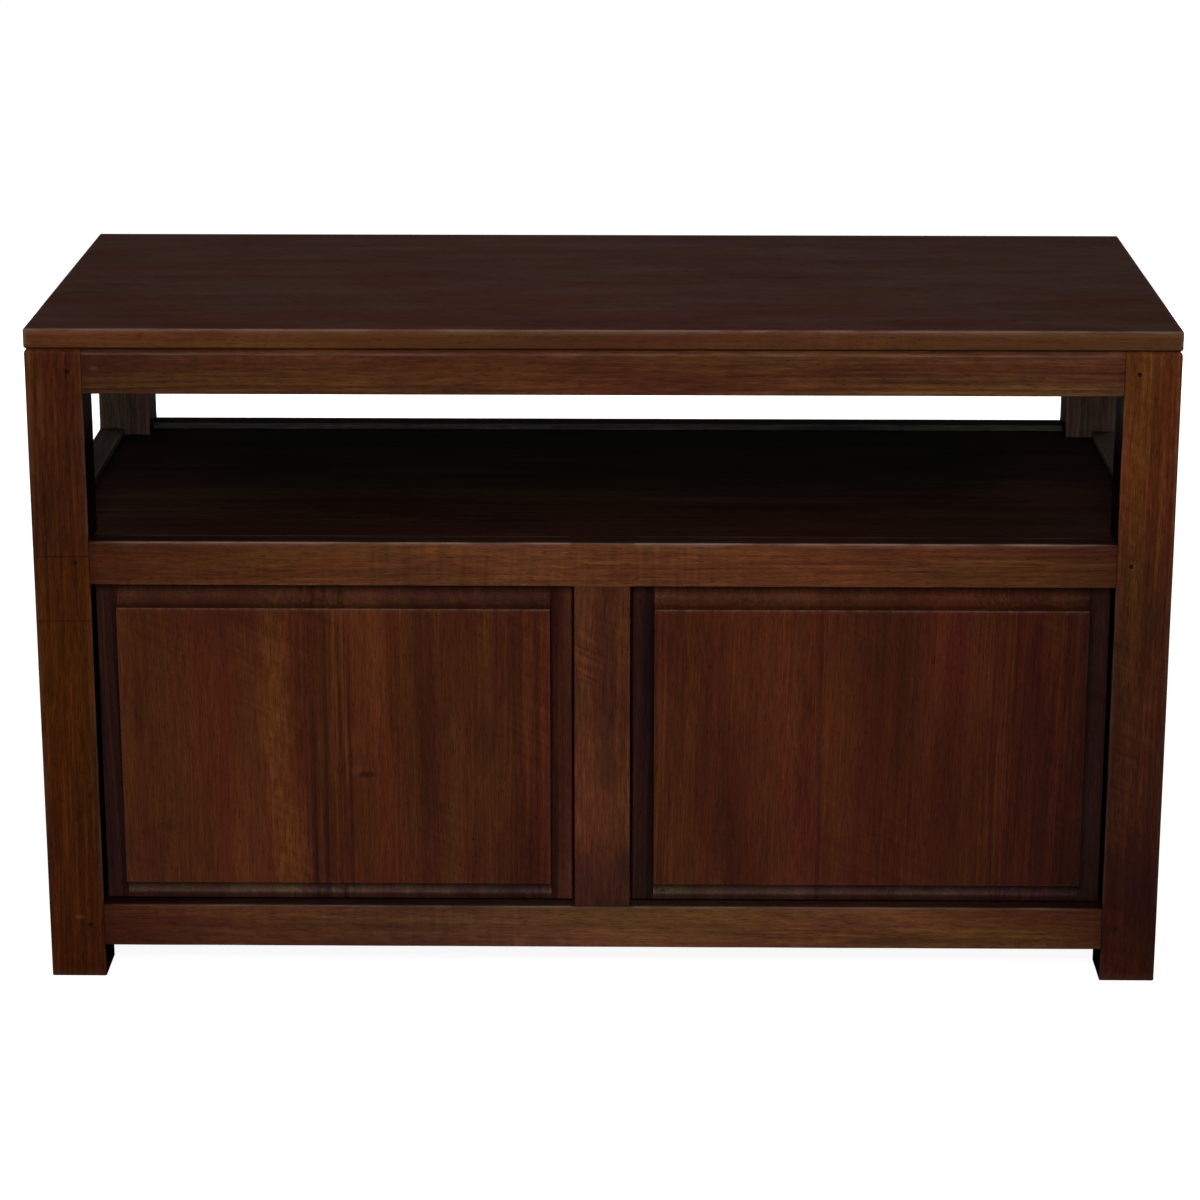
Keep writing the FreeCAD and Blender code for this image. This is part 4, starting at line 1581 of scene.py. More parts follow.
@dataclass
class Shelf:
    """Shelf between the middle rails, cut away round the four legs."""

    shop: Shop
    node: str = "shelf"
    ease: float = 0.0008
    round_rings: int = 4
    clearance: float = 0.0003
    cells: tuple[int, int] = (60, 26)
    # Painted shade darkening the shelf towards the back of the bay, and painted side light paling both ends.
    middle_tone: ToneStops = ((0.0, (0.34, 0.47, 0.80)), (0.85, (0.08, 0.30, 0.44)))
    end_tone: ToneStops = ((0.0, (0.31, 0.46, 0.98)), (0.85, (0.27, 0.44, 0.76)))
    end_reach: Pair = (0.345, 0.405)
    seed: int = 31

    def lines(self) -> tuple[Array, Array]:
        """Places of the plan's grid lines: the outer cell at each end is as wide as the notch at a leg.

        Returns:
            The lines across and the lines back, in rising order.
        """
        low, high = corners_of(self.node)
        notch = corners_of("rear_right_leg")[0] - self.clearance
        inner = [np.linspace(-notch[c], notch[c], self.cells[c] - 1) for c in range(2)]
        return tuple(np.concatenate([[low[c]], inner[c], [high[c]]]) for c in range(2))

    @staticmethod
    def border(last_x: int, last_y: int) -> Array:
        """Walk round the notched plan anticlockwise, from the right end's front corner.

        Args:
            last_x: number of the last line across.
            last_y: number of the last line back.

        Returns:
            Grid places of shape (corners and points between, 2).
        """
        up, left = np.arange(1, last_y), np.arange(last_x - 1, 0, -1)
        right = np.stack([np.full_like(up, last_x), up], 1)
        back = np.stack([left, np.full_like(left, last_y)], 1)
        notch = np.array([[last_x - 1, last_y - 1]])
        half = np.concatenate([right, notch, back, notch * (0, 1) + (1, 0)])
        return np.concatenate([half, np.array([last_x, last_y]) - half])

    def build(self) -> None:
        """Stack the plan's rings, close them with two notched grids, and hand the shelf over."""
        rng = np.random.default_rng(self.seed)
        across, back = self.lines()
        walk = self.border(len(across) - 1, len(back) - 1)
        rim = self.rim(np.stack([across[walk[:, 0]], back[walk[:, 1]]], axis=1))
        points, faces = self.closed(rim, walk, across, back)
        grain = log_place(points, Axis.X, rng)
        skin = Skin(points, faces, grain, self.stained(points), np.zeros_like(points))
        piece = skin.to_object("shelf_board", self.shop.dull_wood)
        self.shop.hand_over(piece, "carcass", self.node, Slot.SHOW_WOOD)

    @staticmethod
    def inward(steps: Array) -> Array:
        """Unit normals to the left of an anticlockwise walk's steps."""
        return np.stack([-steps[:, 1], steps[:, 0]], 1) / np.linalg.norm(steps, axis=1)[:, None]

    def rim(self, plan: Array) -> Array:
        """Rings round the plan, drawn in by a quarter round at both faces.

        A point is drawn in along its mitre: the sum of both sides' normals over 1 plus their product.

        Args:
            plan: the border's points seen from above.

        Returns:
            Ring points of shape (rings, points, 3).
        """
        low, high = corners_of(self.node)
        before = self.inward(plan - np.roll(plan, 1, axis=0))
        after = self.inward(np.roll(plan, -1, axis=0) - plan)
        mitre = (before + after) / (1 + np.sum(before * after, axis=1))[:, None]
        rise, draw = quarter_round(self.ease, self.round_rings)
        height = np.concatenate([low[2] + rise, low[2] + ((high[2] - low[2]) - rise[::-1])])
        draw = np.concatenate([draw, draw[::-1]])
        flat = plan[None] + draw[:, None, None] * mitre[None]
        return np.concatenate([flat, np.repeat(height[:, None, None], len(plan), 1)], axis=2)

    def stained(self, points: Array) -> Array:
        """Tone from the front to the back and at both ends: painted shade darker to the back, painted side
        light at the ends.

        Args:
            points: the shelf's points.

        Returns:
            Factors of shape (points, 3).
        """
        low, high = corners_of(self.node)
        share = (points[:, 1] - low[1]) / (high[1] - low[1])
        start, finish = self.end_reach
        near_end = np.clip((np.abs(points[:, 0]) - start) / (finish - start), 0.0, 1.0)[:, None]
        middle = (1 - near_end) * tone_along(share, self.middle_tone)
        return middle + near_end * tone_along(share, self.end_tone)

    @staticmethod
    def closed(
        rim: Array, walk: Array, across: Array, back: Array
    ) -> tuple[Array, list]:
        """Close the rim's first and last ring with the plan's grid, leaving out the corner cells.

        Args:
            rim: ring points of shape (rings, walk, 3).
            walk: grid places of the ring's points.
            across: lines across.
            back: lines back.

        Returns:
            Points (the rim, then both grids' inner points) and faces.
        """
        rings, count, _ = rim.shape
        inside = np.zeros((len(across), len(back)), bool)
        inside[1:-1, 1:-1] = True
        inside[walk[:, 0], walk[:, 1]] = False
        grid_x, grid_y = np.meshgrid(across, back, indexing="ij")
        cells = np.ones((len(across) - 1, len(back) - 1), bool)
        cells[np.ix_([0, -1], [0, -1])] = False
        points, quads = [rim.reshape(-1, 3)], [ring_quads(rings, count)]
        for ring, order in ((0, -1), (rings - 1, 1)):
            index = np.zeros(inside.shape, int)
            index[walk[:, 0], walk[:, 1]] = ring * count + np.arange(count)
            index[inside] = sum(len(part) for part in points) + np.arange(inside.sum())
            level = np.full(inside.sum(), rim[ring, 0, 2])
            points.append(np.stack([grid_x[inside], grid_y[inside], level], axis=1))
            quads.append(grid_quads(index)[cells.ravel()][:, ::order])
        return np.concatenate(points), np.concatenate(quads).tolist()


@dataclass
class ClosingPanels:
    """Side panels and rear panel that close the drawer space, held in grooves of the frame."""

    shop: Shop
    seed: int = 41
    panel_ease: float = 0.0006
    panel_mids: int = 10
    tone: ToneStops = ((0.0, (1.10, 1.12, 1.10)),)
    rear_dark: Triple = (0.030, 0.0085, 0.0034)
    rear_light: Triple = (0.085, 0.030, 0.0115)

    def build(self) -> None:
        """Make the two side panels and finish the rear panel."""
        for seed, side in enumerate(Side, self.seed):
            node = f"{side.word}_side_panel"
            sizes = {"ease": self.panel_ease, "end_ease": self.panel_ease, "mids": self.panel_mids}
            self.shop.board(node, Board(*corners_of(node), Axis.Z, seed, tone=self.tone, **sizes))
        rear = VeneeredBoard("stained_back_board", Axis.Z, Axis.Y, self.rear_dark, self.rear_light)
        self.shop.dress("rear_panel", rear.material())


@dataclass
class RunnerSet:
    """Runners, guides, kickers, stops and cleats inside the carcass, with the screws of the top."""

    shop: Shop
    dark: Triple = (0.105, 0.050, 0.024)
    light: Triple = (0.215, 0.120, 0.062)

    def build(self) -> None:
        """Finish the hidden boards along their own grain."""
        lengthwise = PlainTimber("inner_hardwood_y", Axis.Y, self.dark, self.light).material()
        crosswise = PlainTimber("inner_hardwood_x", Axis.X, self.dark, self.light).material()
        for place in ("left", "centre", "right"):
            for kind in ("runner", "guide", "kicker"):
                self.shop.dress(f"{place}_{kind}", lengthwise)
        for node in ("drawer_stops", "front_top_cleat", "rear_top_cleat"):
            self.shop.dress(node, crosswise)
        self.shop.dress("top_screws", self.shop.steel)


@dataclass(frozen=True)
class Streak:
    """Soft upright band on a drawer face where the stain reads paler, warmer or darker."""

    centre: float
    width: float
    tone: Triple
    foot: float = -1.0
    head: float = 2.0
    mottle: float = 0.0
    fade: float = 0.25

    def weight(self, across: Array, up: Array) -> Array:
        """Strength of the band: a bell across the face, fading above its head and below its foot.

        Args:
            across: share of the width from the left.
            up: share of the height from the bottom.

        Returns:
            Weights from 0 to 1.
        """
        bell = np.exp(-(((across - self.centre) / self.width) ** 2))
        rise = np.clip((up - self.foot) / self.fade, 0.0, 1.0)
        fall = np.clip((self.head - up) / self.fade, 0.0, 1.0)
        return bell * rise * fall


@dataclass(frozen=True)
class Gathered:
    """Painted shade along a line: how much, how far it reaches, and where the line lies."""

    strength: float
    reach: float
    place: float = 0.0


@dataclass
class DrawerFace:
    """Raised face: a cove along the top and the bottom, stopped by a through rebate at each end."""

    lip: float = 0.009
    lip_flat: float = 0.003
    cove_rise: float = 0.011
    margin: float = 0.019
    field_ease: float = 0.0010
    edge_ease: float = 0.0006
    back_ease: float = 0.0004
    corner: float = 0.0005
    hollow: float = 0.00014
    hollow_margin: float = 0.02
    # Rings on the field's arris, the cove, the rebate's flat and the outer arris.
    arris_rings: int = 5
    cove_rings: int = 13
    flat_rings: int = 6
    edge_rings: int = 4
    # Rubbing of the field's upper, lower and end arrises with its painted highlight, and the lines of painted
    # shade.
    field_rub: Triple = (0.45, 0.10, 0.08)
    rub_start: float = 0.0004
    rub_reach: float = 0.0008
    field_share: float = 1.05
    lip_share: float = 0.5
    foot: Gathered = Gathered(0.45, 0.0022, 0.0018)
    toe: Gathered = Gathered(0.62, 0.0016, 0.0045)
    wall: Gathered = Gathered(0.70, 0.0012)
    outer: Gathered = Gathered(0.55, 0.0010)

    def rings(self, thickness: float) -> Array:
        """Depth behind the field and drawing-in of each ring, front to back.

        The field's arris is a quarter round. At the ends the rings then stay on the margin down to the rebate
        and widen on its flat. Along the top and the bottom the cove is an arc that starts square with the
        lip: its place is the lip's flat plus R sin(p) and its rise is R (1 - cos(p)), where R follows from
        the run and the rise.

        Args:
            thickness: of the face.

        Returns:
            Array of shape (rings, 3): depth, drawing-in at the ends, drawing-in at the top and bottom.
        """
        run = self.margin - self.lip_flat
        radius = (run**2 + self.cove_rise**2) / (2 * self.cove_rise)
        rebate = thickness - self.lip
        sink, draw = quarter_round(self.field_ease, self.arris_rings)
        arris = self.margin + draw
        turn = np.linspace(math.asin(run / radius), 0.0, self.cove_rings)
        cove = self.lip_flat + radius * np.sin(turn)
        out = np.linspace(1.0, 0.0, self.flat_rings + 2)[1:-1]
        edge_sink, edge = quarter_round(self.edge_ease, self.edge_rings)
        back = np.array([0.0, self.back_ease])
        steps = [
            (sink, arris, arris),
            (rebate - radius * (1 - np.cos(turn)), np.full_like(turn, self.margin), cove),
            (np.full_like(out, rebate), self.margin * out, self.lip_flat * out + self.edge_ease * (1 - out)),
            (rebate + edge_sink, edge, edge),
            (thickness - back[::-1], back, back),
        ]
        return np.concatenate([np.stack(step, axis=1) for step in steps])

    def wear(self, points: Array, low: Array, high: Array) -> Array:
        """Rubbed field arris and its painted highlight; painted shade at the shoulders' feet and along the
        lips behind it.

        Args:
            points: the face's points.
            low: lowest corner.
            high: highest corner.

        Returns:
            Array of shape (points, 3): rubbed with the painted highlight, painted shade, and zero where the
                speckle goes.
        """
        on_field = points[:, 1] - low[1] < self.field_share * self.field_ease
        end_gap = np.minimum(points[:, 0] - low[0], high[0] - points[:, 0])
        level_gap = np.minimum(points[:, 2] - low[2], high[2] - points[:, 2])
        above = points[:, 2] > (low[2] + high[2]) / 2
        upper, lower, ends = self.field_rub
        strength = np.where(level_gap < end_gap, np.where(above, upper, lower), ends)
        border = np.maximum(np.minimum(end_gap, level_gap) - self.margin - self.rub_start, 0.0)
        rubbed = strength * np.exp(-border / self.rub_reach) * on_field
        clogged = np.where(on_field, 0.0, self._clogged(end_gap, level_gap, above))
        return np.stack([rubbed, clogged, np.zeros_like(clogged)], axis=1)

    def _clogged(self, end_gap: Array, level_gap: Array, above: Array) -> Array:
        """Painted shade under the upper shoulder, at the lower cove's toe, by the end walls and the outer
        edge.

        Args:
            end_gap: distance from the nearer end of the face.
            level_gap: distance from its top or bottom, whichever is nearer.
            above: whether a point is in the upper half.

        Returns:
            One value for each point.
        """
        under = np.maximum(self.margin - level_gap, 0.0)
        in_cove = (end_gap > self.margin - TOUCHING) & (under < self.margin - self.lip_share * self.lip_flat)
        on_flank = (end_gap <= self.margin + TOUCHING) & ~in_cove
        shoulder = np.clip(1.0 - (under - self.foot.place) / self.foot.reach, 0.0, 1.0)
        foot = self.foot.strength * shoulder * above
        toe = self.toe.strength * np.exp(-(((level_gap - self.toe.place) / self.toe.reach) ** 2)) * ~above
        from_wall = self.margin - np.minimum(end_gap, self.margin)
        wall = self.wall.strength * np.exp(-from_wall / self.wall.reach)
        outer = self.outer.strength * np.exp(-np.minimum(end_gap, level_gap) / self.outer.reach)
        return np.maximum(np.where(in_cove, np.maximum(foot, toe), np.where(on_flank, wall, 0.0)), outer)


@dataclass(frozen=True)
class Flank:
    """Painted shade of one end rebate, beside the field and at the outer edge, and painted light at its foot.
    """

    inner: Triple
    outer: Triple
    foot: Triple = (1.0, 1.0, 1.0)

    def stain(self, out: Array, foot_light: Array) -> Array:
        """Factors for shares of the way out to the edge and of the foot's light."""
        stain = np.array(self.inner) * (1 - out) + np.array(self.outer) * out
        return stain * (1 + foot_light * (np.array(self.foot) - 1))


@dataclass(frozen=True)
class FaceTimber:
    """One drawer face's wood: seed, stain all over and on its streaks, painted light and shade on its ends
    and upper cove.
    """

    seed: int
    base: Triple
    streaks: tuple[Streak, ...]
    flanks: tuple[Flank, Flank]
    upper_cove: ToneStops


@dataclass
class Drawer:
    """One drawer: a fielded face over a dovetailed box that slides forward."""

    shop: Shop
    side: Side
    timber: FaceTimber
    profile: DrawerFace = field(default_factory=DrawerFace)
    cells: tuple[int, int] = (44, 260)
    mottle: float = 0.14
    foot_reach: float = 0.030
    # Lower cove: painted shade at its toe by the lip, then a pale bluish painted reflection of the floor up
    # to the field.
    lower_cove: ToneStops = (
        (0.16, (0.45, 0.60, 1.00)),
        (0.32, (1.60, 3.40, 7.30)),
        (1.00, (1.47, 2.95, 5.60)),
    )
    box_dark: Triple = (0.150, 0.070, 0.034)
    box_light: Triple = (0.290, 0.160, 0.086)
    veneer_dark: Triple = (0.250, 0.135, 0.072)
    veneer_light: Triple = (0.400, 0.250, 0.145)

    @property
    def body(self) -> str:
        """The CAD body that carries the drawer."""
        return f"{self.side.word}_drawer"

    @property
    def node(self) -> str:
        """The CAD node of the face."""
        return f"{self.body}_face"

    def build(self) -> None:
        """Make the face, then finish the box."""
        self._face()
        self._box()

    def _face(self) -> None:
        """Stack the moulding's rings from the field to the back and close both faces with grids."""
        rng = np.random.default_rng(self.timber.seed)
        low, high = corners_of(self.node)
        half, middle = (high - low) / 2, (high + low) / 2
        depth, draw_end, draw_level = self.profile.rings(high[1] - low[1]).T
        radius = np.full((len(depth), len(Arris)), self.profile.corner)
        plan = LoopPlan(half[2] - draw_level, half[0] - draw_end, radius, *self.cells)
        z, x = plan.outline()
        y = np.repeat((low[1] + depth)[:, None], x.shape[1], axis=1)
        points, faces = close_stack(np.stack([middle[0] + x, y, middle[2] + z], axis=-1), plan.cap_shape)
        wear = self.profile.wear(points, low, high)
        wear[:, 2] = self._mottle(points)
        field_low, field_high = low + self.profile.margin, high - self.profile.margin
        gap = np.minimum(points - field_low, field_high - points)[:, [0, 2]].min(axis=1)
        inward = np.clip(gap / self.profile.hollow_margin, 0.0, 1.0)
        front = points[:, 1] < low[1] + 0.5 * self.profile.field_ease
        uneven = 0.5 * (1 + ripple(rng, points[:, 0], points[:, 2]))
        points[:, 1] += self.profile.hollow * uneven * inward * front
        tone = self._tone(points)
        skin = Skin(points, faces, log_place(points, Axis.Z, rng), tone, wear)
        piece = skin.to_object(f"{self.node}_board", self.shop.show_wood)
        self.shop.hand_over(piece, self.body, self.node, Slot.SHOW_WOOD)

    def _tone(self, points: Array) -> Array:
        """Tone over the face: the base and its streaks, then painted light and shade on the coves and the end
        rebates.

        Args:
            points: the face's points.

        Returns:
            Factors of shape (points, 3).
        """
        low, high = corners_of(self.node)
        across = (points[:, 0] - low[0]) / (high[0] - low[0])
        up = (points[:, 2] - low[2]) / (high[2] - low[2])
        tone = np.tile(np.array(self.timber.base), (len(points), 1))
        for streak in self.timber.streaks:
            weight = streak.weight(across, up)[:, None]
            tone = tone * (1 + weight * (np.array(streak.tone) - 1))
        behind = low[1] + 2 * self.profile.field_ease
        in_cove = points[:, 1] > behind - TOUCHING
        from_edge = np.minimum(points[:, 2] - low[2], high[2] - points[:, 2]) / self.profile.margin
        # Coves: painted shade of the rail above on the upper one; painted shade and floor reflection on the
        # lower one.
        upper, lower = tone_along(from_edge, self.timber.upper_cove), tone_along(from_edge, self.lower_cove)
        tone[in_cove] *= np.where(up[:, None] < 0.5, lower, upper)[in_cove]
        foot_light = np.exp(-((points[:, 2] - low[2]) / self.foot_reach))[:, None]
        # End rebates: painted shade from the field and frame, and painted light at their feet.
        for flank, gap in zip(self.timber.flanks, (points[:, 0] - low[0], high[0] - points[:, 0])):
            out = np.clip(1 - gap / self.profile.margin, 0.0, 1.0)[:, None]
            on_flank = (gap <= self.profile.margin + TOUCHING) & (points[:, 1] > behind)
            tone = np.where(on_flank[:, None], flank.stain(out, foot_light), tone)
        return tone

    def _mottle(self, points: Array) -> Array:
        """Strength of the speckle: a little everywhere, more on the streaks that ask for it.

        Args:
            points: the face's points.

        Returns:
            One value for each point.
        """
        low, high = corners_of(self.node)
        share = (points - low) / (high - low)
        extra = [streak.mottle * streak.weight(share[:, 0], share[:, 2]) for streak in self.timber.streaks]
        return self.mottle + np.sum(extra, axis=0)

    def _box(self) -> None:
        """Finish the box boards along their grain, the bottom and the screws."""
        sides = PlainTimber(f"{self.body}_wood_y", Axis.Y, self.box_dark, self.box_light).material()
        ends = PlainTimber(f"{self.body}_wood_x", Axis.X, self.box_dark, self.box_light).material()
        bottom = VeneeredBoard(f"{self.body}_veneer", Axis.X, Axis.Z, self.veneer_dark, self.veneer_light)
        for part in ("left_side", "right_side"):
            self.shop.dress(f"{self.body}_{part}", sides)
        for part in ("box_front", "back"):
            self.shop.dress(f"{self.body}_{part}", ends)
        self.shop.dress(f"{self.body}_bottom", bottom.material())
        self.shop.dress(f"{self.body}_screws", self.shop.steel)


@dataclass
class PegSet:
    """Tenon pegs: small domed ends just proud of the legs, each a little out of round."""

    shop: Shop
    node: str = "tenon_pegs"
    seed: int = 71
    radius: float = 0.0020
    crown: float = 0.00012
    depth: float = 0.0030
    surface: float = 0.0002
    inset: float = 0.037
    # Rings of the dome as shares of the radius, and their heights as shares of the crown.
    dome_shares: tuple[float, ...] = (0.15, 0.45, 0.72, 0.90, 1.0)
    dome_heights: tuple[float, ...] = (1.0, 0.85, 0.55, 0.20, -0.6)
    around: int = 20
    out_of_round: float = 0.05
    turns: Pair = (0.0, 6.3)
    sizes: Pair = (0.92, 1.06)
    clog_power: int = 6
    grain_shift: float = 3.0

    def places(self) -> tuple[Array, Array]:
        """Centres on the legs' faces and the directions that the pegs look in.

        Each leg has one peg for each rail that is tenoned into it, in the middle of the rail's height.

        Returns:
            Centres and unit directions, both of shape (pegs, 3).
        """
        _, outer = corners_of(self.node)
        centres, looks = [], []
        for end, side, level in itertools.product(End, Side, Level):
            for rail in (end, side):
                low, high = corners_of(f"{rail.word}_{level.word}_rail")
                in_x, in_y = (self.inset, self.surface) if rail is end else (self.surface, self.inset)
                x, y = side.value * (outer[0] - in_x), end.value * (outer[1] - in_y)
                centres.append((x, y, (low[2] + high[2]) / 2))
                looks.append((0.0, end.value, 0.0) if rail is end else (side.value, 0.0, 0.0))
        return np.array(centres), np.array(looks, float)

    def rings(self, shares: Array, heights: Array) -> Array:
        """Rings round each peg's axis, wider one way than the other by a little.

        Args:
            shares: size of each ring as a share of the radius.
            heights: how far each ring stands out of the leg.

        Returns:
            Points of shape (pegs, rings, points round, 3).
        """
        rng = np.random.default_rng(self.seed)
        centres, looks = self.places()
        each = (len(centres), 1)
        angle = np.arange(self.around) * 2 * math.pi / self.around
        wobble = 1 + self.out_of_round * np.sin(2 * angle[None] + rng.uniform(*self.turns, each))
        wobble = wobble * rng.uniform(*self.sizes, each)
        upright = np.array([0.0, 0.0, 1.0])
        sideways = np.cross(upright, looks)
        spread = self.radius * shares[None, :, None] * wobble[:, None, :]
        return (
            centres[:, None, None]
            + (spread * np.cos(angle))[..., None] * sideways[:, None, None]
            + (spread * np.sin(angle))[..., None] * upright
            + heights[None, :, None, None] * looks[:, None, None]
        )

    def faces(self, pegs: int, rings: int) -> list:
        """Quads between the rings of every peg, and a face at both of its ends.

        Args:
            pegs: number of pegs.
            rings: rings of each.

        Returns:
            The faces as lists of point numbers.
        """
        first = (np.arange(pegs) * rings * self.around)[:, None, None]
        quads = (ring_quads(rings, self.around)[:, ::-1][None] + first).reshape(-1, 4)
        front = np.arange(self.around)[None] + first[:, 0]
        back = front[:, ::-1] + (rings - 1) * self.around
        return quads.tolist() + front.tolist() + back.tolist()

    def build(self) -> None:
        """Carry a domed profile round each peg's axis and join all pegs into one mesh."""
        shares = np.array([*self.dome_shares, 1.0])
        heights = np.append(np.array(self.dome_heights) * self.crown, -self.depth)
        rings = self.rings(shares, heights)
        points = rings.reshape(-1, 3)
        darkening = np.tile(np.repeat(shares**self.clog_power, self.around), len(rings))
        wear = np.stack([0 * darkening, darkening, 0 * darkening], axis=1)
        faces = self.faces(len(rings), len(shares))
        skin = Skin(points, faces, points + self.grain_shift, np.ones_like(points), wear)
        piece = skin.to_object("tenon_peg_ends", self.shop.peg)
        self.shop.hand_over(piece, "carcass", self.node, Slot.PEG)


class Reach(Enum):
    """What a studio light acts on: glare is kept apart from the light itself, as behind a polariser."""

    MATTE = "matte"
    GLOSS = "gloss"


@dataclass(frozen=True)
class SoftBox:
    """Soft light that the camera doesn't see: its place, the point it looks at, its size and its watts."""

    name: str
    place: Triple
    aim: Triple
    size: Pair
    power: float
    reach: Reach

    def hang(self) -> None:
        """Add the light, tilted from straight down to its line of sight and turned to that line's bearing."""
        data = bpy.data.lights.new(self.name, "AREA")
        data.shape = "RECTANGLE"
        data.size, data.size_y = self.size
        data.energy = self.power
        lamp = bpy.data.objects.new(self.name, data)
        lamp.location = self.place
        look = np.array(self.aim) - np.array(self.place)
        tilt = math.acos(-look[2] / np.linalg.norm(look))
        lamp.rotation_euler = (tilt, 0.0, math.atan2(look[1], look[0]) - math.pi / 2)
        lamp.visible_camera = False
        lamp.visible_glossy = self.reach is Reach.GLOSS
        lamp.visible_diffuse = self.reach is Reach.MATTE
        bpy.context.scene.collection.objects.link(lamp)


LIT_FRONT = (0.0, -0.2, 0.32)
FRONT_LIGHTS = (
    SoftBox("key_softbox", (0.10, -2.05, 1.45), LIT_FRONT, (1.1, 0.8), 48.0, Reach.MATTE),
    SoftBox("low_fill", (-0.30, -3.20, 0.55), (0.0, 0.0, 0.45), (1.8, 0.5), 24.0, Reach.MATTE),
    SoftBox("sheen_panel", (0.0, -2.4, 1.9), LIT_FRONT, (2.6, 1.2), 1.8, Reach.GLOSS),
    SoftBox("top_glow", (0.0, 0.55, 0.76), (0.0, -0.1, 0.60), (1.6, 0.2), 0.062, Reach.GLOSS),
    SoftBox("floor_sheen", (0.0, -0.40, 0.004), (0.0, -0.39, 1.0), (1.3, 0.3), 0.05, Reach.GLOSS),
)
BACK_LIGHT = SoftBox("back_low_softbox", (0.0, 2.8, 0.20), (0.0, 0.2, 0.24), (1.8, 0.36), 36.0, Reach.MATTE)


def side_lights(side: Side) -> tuple[SoftBox, ...]:
    """Lights of one side: behind the stand, the sheen of that one, and low beside the stand.

    Args:
        side: left or right.

    Returns:
        The three lights.
    """
    behind, beside = (2.3 * side.value, 1.7, 1.7), (2.6 * side.value, 0.15, 0.20)
    middle, square = (0.0, 0.0, 0.3), (1.2, 1.2)
    return (
        SoftBox(f"{side.word}_back_softbox", behind, middle, square, 14.0, Reach.MATTE),
        SoftBox(f"{side.word}_back_sheen", behind, middle, square, 2.0, Reach.GLOSS),
        SoftBox(f"{side.word}_low_softbox", beside, (0.0, 0.15, 0.24), (0.7, 0.36), 22.0, Reach.MATTE),
    )


@dataclass
class Studio:
    """Pale floor, soft lights and the camera at the photograph's viewing angle."""

    camera_place: Triple = (0.036, -3.200, 1.232)
    camera_pitch: float = 73.63
    camera_turn: float = 0.73
    lens: float = 105.8
    floor_reach: float = 40.0
    floor_glow: Pair = (0.90, 1.0)
    glow_reach: Pair = (0.7, 1.9)
    lit_paper: Triple = (0.45, 0.45, 0.45)
    dim_paper: Triple = (0.05, 0.048, 0.046)
    room: Triple = (1.0, 0.98, 0.96)
    ambient: float = 0.012
    white: Triple = (1.0, 1.0, 1.0)
    backdrop: float = 1.0

    def build(self) -> None:
        """Set the camera, the floor, the lights and the plain view of colours."""
        self._camera()
        self._floor()
        self._world()
        for light in (*FRONT_LIGHTS, *side_lights(Side.LEFT), *side_lights(Side.RIGHT), BACK_LIGHT):
            light.hang()
        view = bpy.context.scene.view_settings
        view.view_transform = "Standard"
        view.look = "None"

    def _camera(self) -> None:
        """Long lens from the front, a little above, as in the photograph."""
        data = bpy.data.cameras.new("camera")
        data.lens = self.lens
        camera = bpy.data.objects.new("camera", data)
        camera.location = self.camera_place
        camera.rotation_euler = (math.radians(self.camera_pitch), 0.0, math.radians(self.camera_turn))
        bpy.context.scene.collection.objects.link(camera)
        bpy.context.scene.camera = camera

    def _floor(self) -> None:
        """Pale paper floor that the camera sees as white with a soft contact shadow."""
        reach = self.floor_reach
        mesh = bpy.data.meshes.new("studio_floor")
        corners = [(-reach, -reach, 0.0), (reach, -reach, 0.0), (reach, reach, 0.0), (-reach, reach, 0.0)]
        mesh.from_pydata(corners, [], [(0, 1, 2, 3)])
        mesh.materials.append(self._paper())
        floor = bpy.data.objects.new("studio_floor", mesh)
        bpy.context.scene.collection.objects.link(floor)

    def _paper(self) -> Material:
        """Paper that glows towards the camera and returns only a little light to the stand.

        Returns:
            The node material.
        """
        material = bpy.data.materials.new("studio_paper")
        material.use_nodes = True
        table = NodeTable(material.node_tree)
        place = table.node("TexCoord", {}).outputs["Object"]
        away = table.node("VectorMath", {0: place}, operation="LENGTH").outputs["Value"]
        fed = {"Value": away}
        fed.update(zip(("From Min", "From Max"), self.glow_reach))
        fed.update(zip(("To Min", "To Max"), self.floor_glow))
        rise = table.node("MapRange", fed).outputs["Result"]
        glow = table.node("Emission", {"Strength": rise}).outputs[0]
        lit = table.node("BsdfDiffuse", {"Color": opaque(self.lit_paper)}).outputs[0]
        dim = table.node("BsdfDiffuse", {"Color": opaque(self.dim_paper)}).outputs[0]
        both = table.node("AddShader", {0: glow, 1: lit}).outputs[0]
        table.node("OutputMaterial", {"Surface": table.by_ray(both, dim)})
        return material

    def _world(self) -> None:
        """White behind the stand, and a dim room for everything else."""
        world = bpy.data.worlds.new("studio_room")
        bpy.context.scene.world = world
        world.use_nodes = True
        table = NodeTable(world.node_tree)
        room = table.node("Background", {"Color": opaque(self.room), "Strength": self.ambient})
        white = table.node("Background", {"Color": opaque(self.white), "Strength": self.backdrop})
        table.node("OutputWorld", {"Surface": table.by_ray(white.outputs[0], room.outputs[0])})


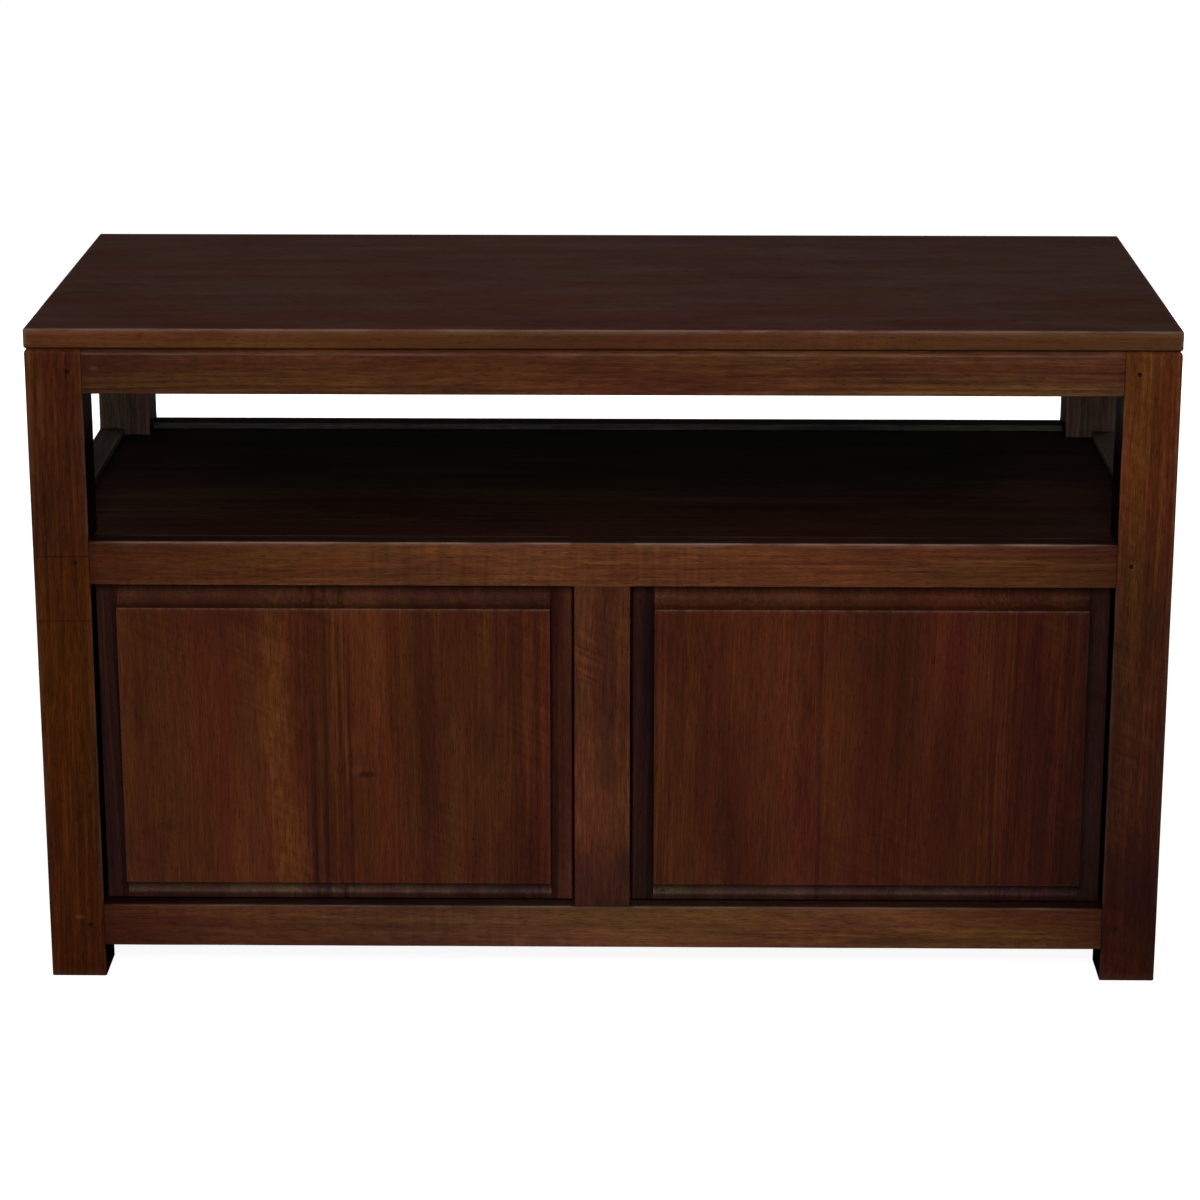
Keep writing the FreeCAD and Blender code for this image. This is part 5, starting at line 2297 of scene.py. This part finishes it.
LEFT_STREAKS = (
    Streak(0.290, 0.050, (1.12, 1.10, 1.08)),
    Streak(0.392, 0.036, (1.38, 1.50, 1.24), foot=-0.1, mottle=0.26),
    Streak(0.455, 0.0050, (0.62, 0.60, 0.62)),
    Streak(0.478, 0.0045, (0.74, 0.72, 0.80)),
    Streak(0.512, 0.0060, (0.68, 0.62, 0.72)),
    Streak(0.530, 0.0045, (0.62, 0.56, 0.66), foot=-0.2, head=0.9),
    Streak(0.575, 0.035, (1.14, 1.07, 1.04)),
    Streak(0.700, 0.060, (0.87, 0.88, 0.92)),
    Streak(0.850, 0.120, (0.77, 0.76, 0.82)),
)
RIGHT_STREAKS = (
    Streak(0.070, 0.080, (1.02, 1.22, 1.00)),
    Streak(0.130, 0.050, (1.04, 1.08, 0.98), foot=0.45, mottle=0.20),
    Streak(0.327, 0.042, (1.26, 1.38, 1.25), mottle=0.12),
    Streak(0.427, 0.060, (1.16, 1.20, 1.15)),
    Streak(0.395, 0.0050, (0.70, 0.62, 0.74)),
    Streak(0.560, 0.0060, (0.80, 0.74, 0.85)),
    Streak(0.830, 0.100, (0.82, 0.72, 0.85)),
    # Painted shade darkening the field towards its right edge beside the end rebate.
    Streak(0.975, 0.085, (0.42, 0.42, 0.52)),
)
# Painted shade on the end rebates, paler away from the field, with painted light at the left drawer's right
# foot.
LEFT_FLANKS = (
    Flank((0.31, 0.34, 0.68), (0.31, 0.37, 0.76)),
    Flank((0.28, 0.23, 0.42), (0.92, 0.95, 1.24), (1.45, 1.45, 1.75)),
)
RIGHT_FLANKS = (
    Flank((0.12, 0.14, 0.34), (0.39, 0.44, 0.88)),
    Flank((0.21, 0.26, 0.66), (0.27, 0.31, 0.70)),
)
# Painted shade of the rail above on the upper coves: darkest at the lip, paler towards the field.
LEFT_COVE_SHADE: ToneStops = ((0.0, (0.56, 0.56, 0.67)), (0.5, (0.67, 0.79, 1.11)), (1.0, (0.72, 0.86, 1.27)))
RIGHT_COVE_SHADE: ToneStops = ((0.0, (0.69, 0.73, 0.57)), (0.5, (0.84, 1.05, 0.94)), (1.0, (0.90, 1.12, 1.08)))
LEFT_TIMBER = FaceTimber(51, (1.04, 0.92, 0.90), LEFT_STREAKS, LEFT_FLANKS, LEFT_COVE_SHADE)
RIGHT_TIMBER = FaceTimber(52, (0.84, 0.67, 0.77), RIGHT_STREAKS, RIGHT_FLANKS, RIGHT_COVE_SHADE)


def main() -> None:
    """Load the frame and build the sub-assemblies in order."""
    logging.basicConfig(level=logging.INFO, format="%(name)s %(message)s")
    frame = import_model()
    shop = Shop(frame)
    LegFrame(shop).build()
    TableTop(shop).build()
    Shelf(shop).build()
    ClosingPanels(shop).build()
    RunnerSet(shop).build()
    Drawer(shop, Side.LEFT, LEFT_TIMBER).build()
    Drawer(shop, Side.RIGHT, RIGHT_TIMBER).build()
    PegSet(shop).build()
    Studio().build()


if __name__ == "__main__":
    main()
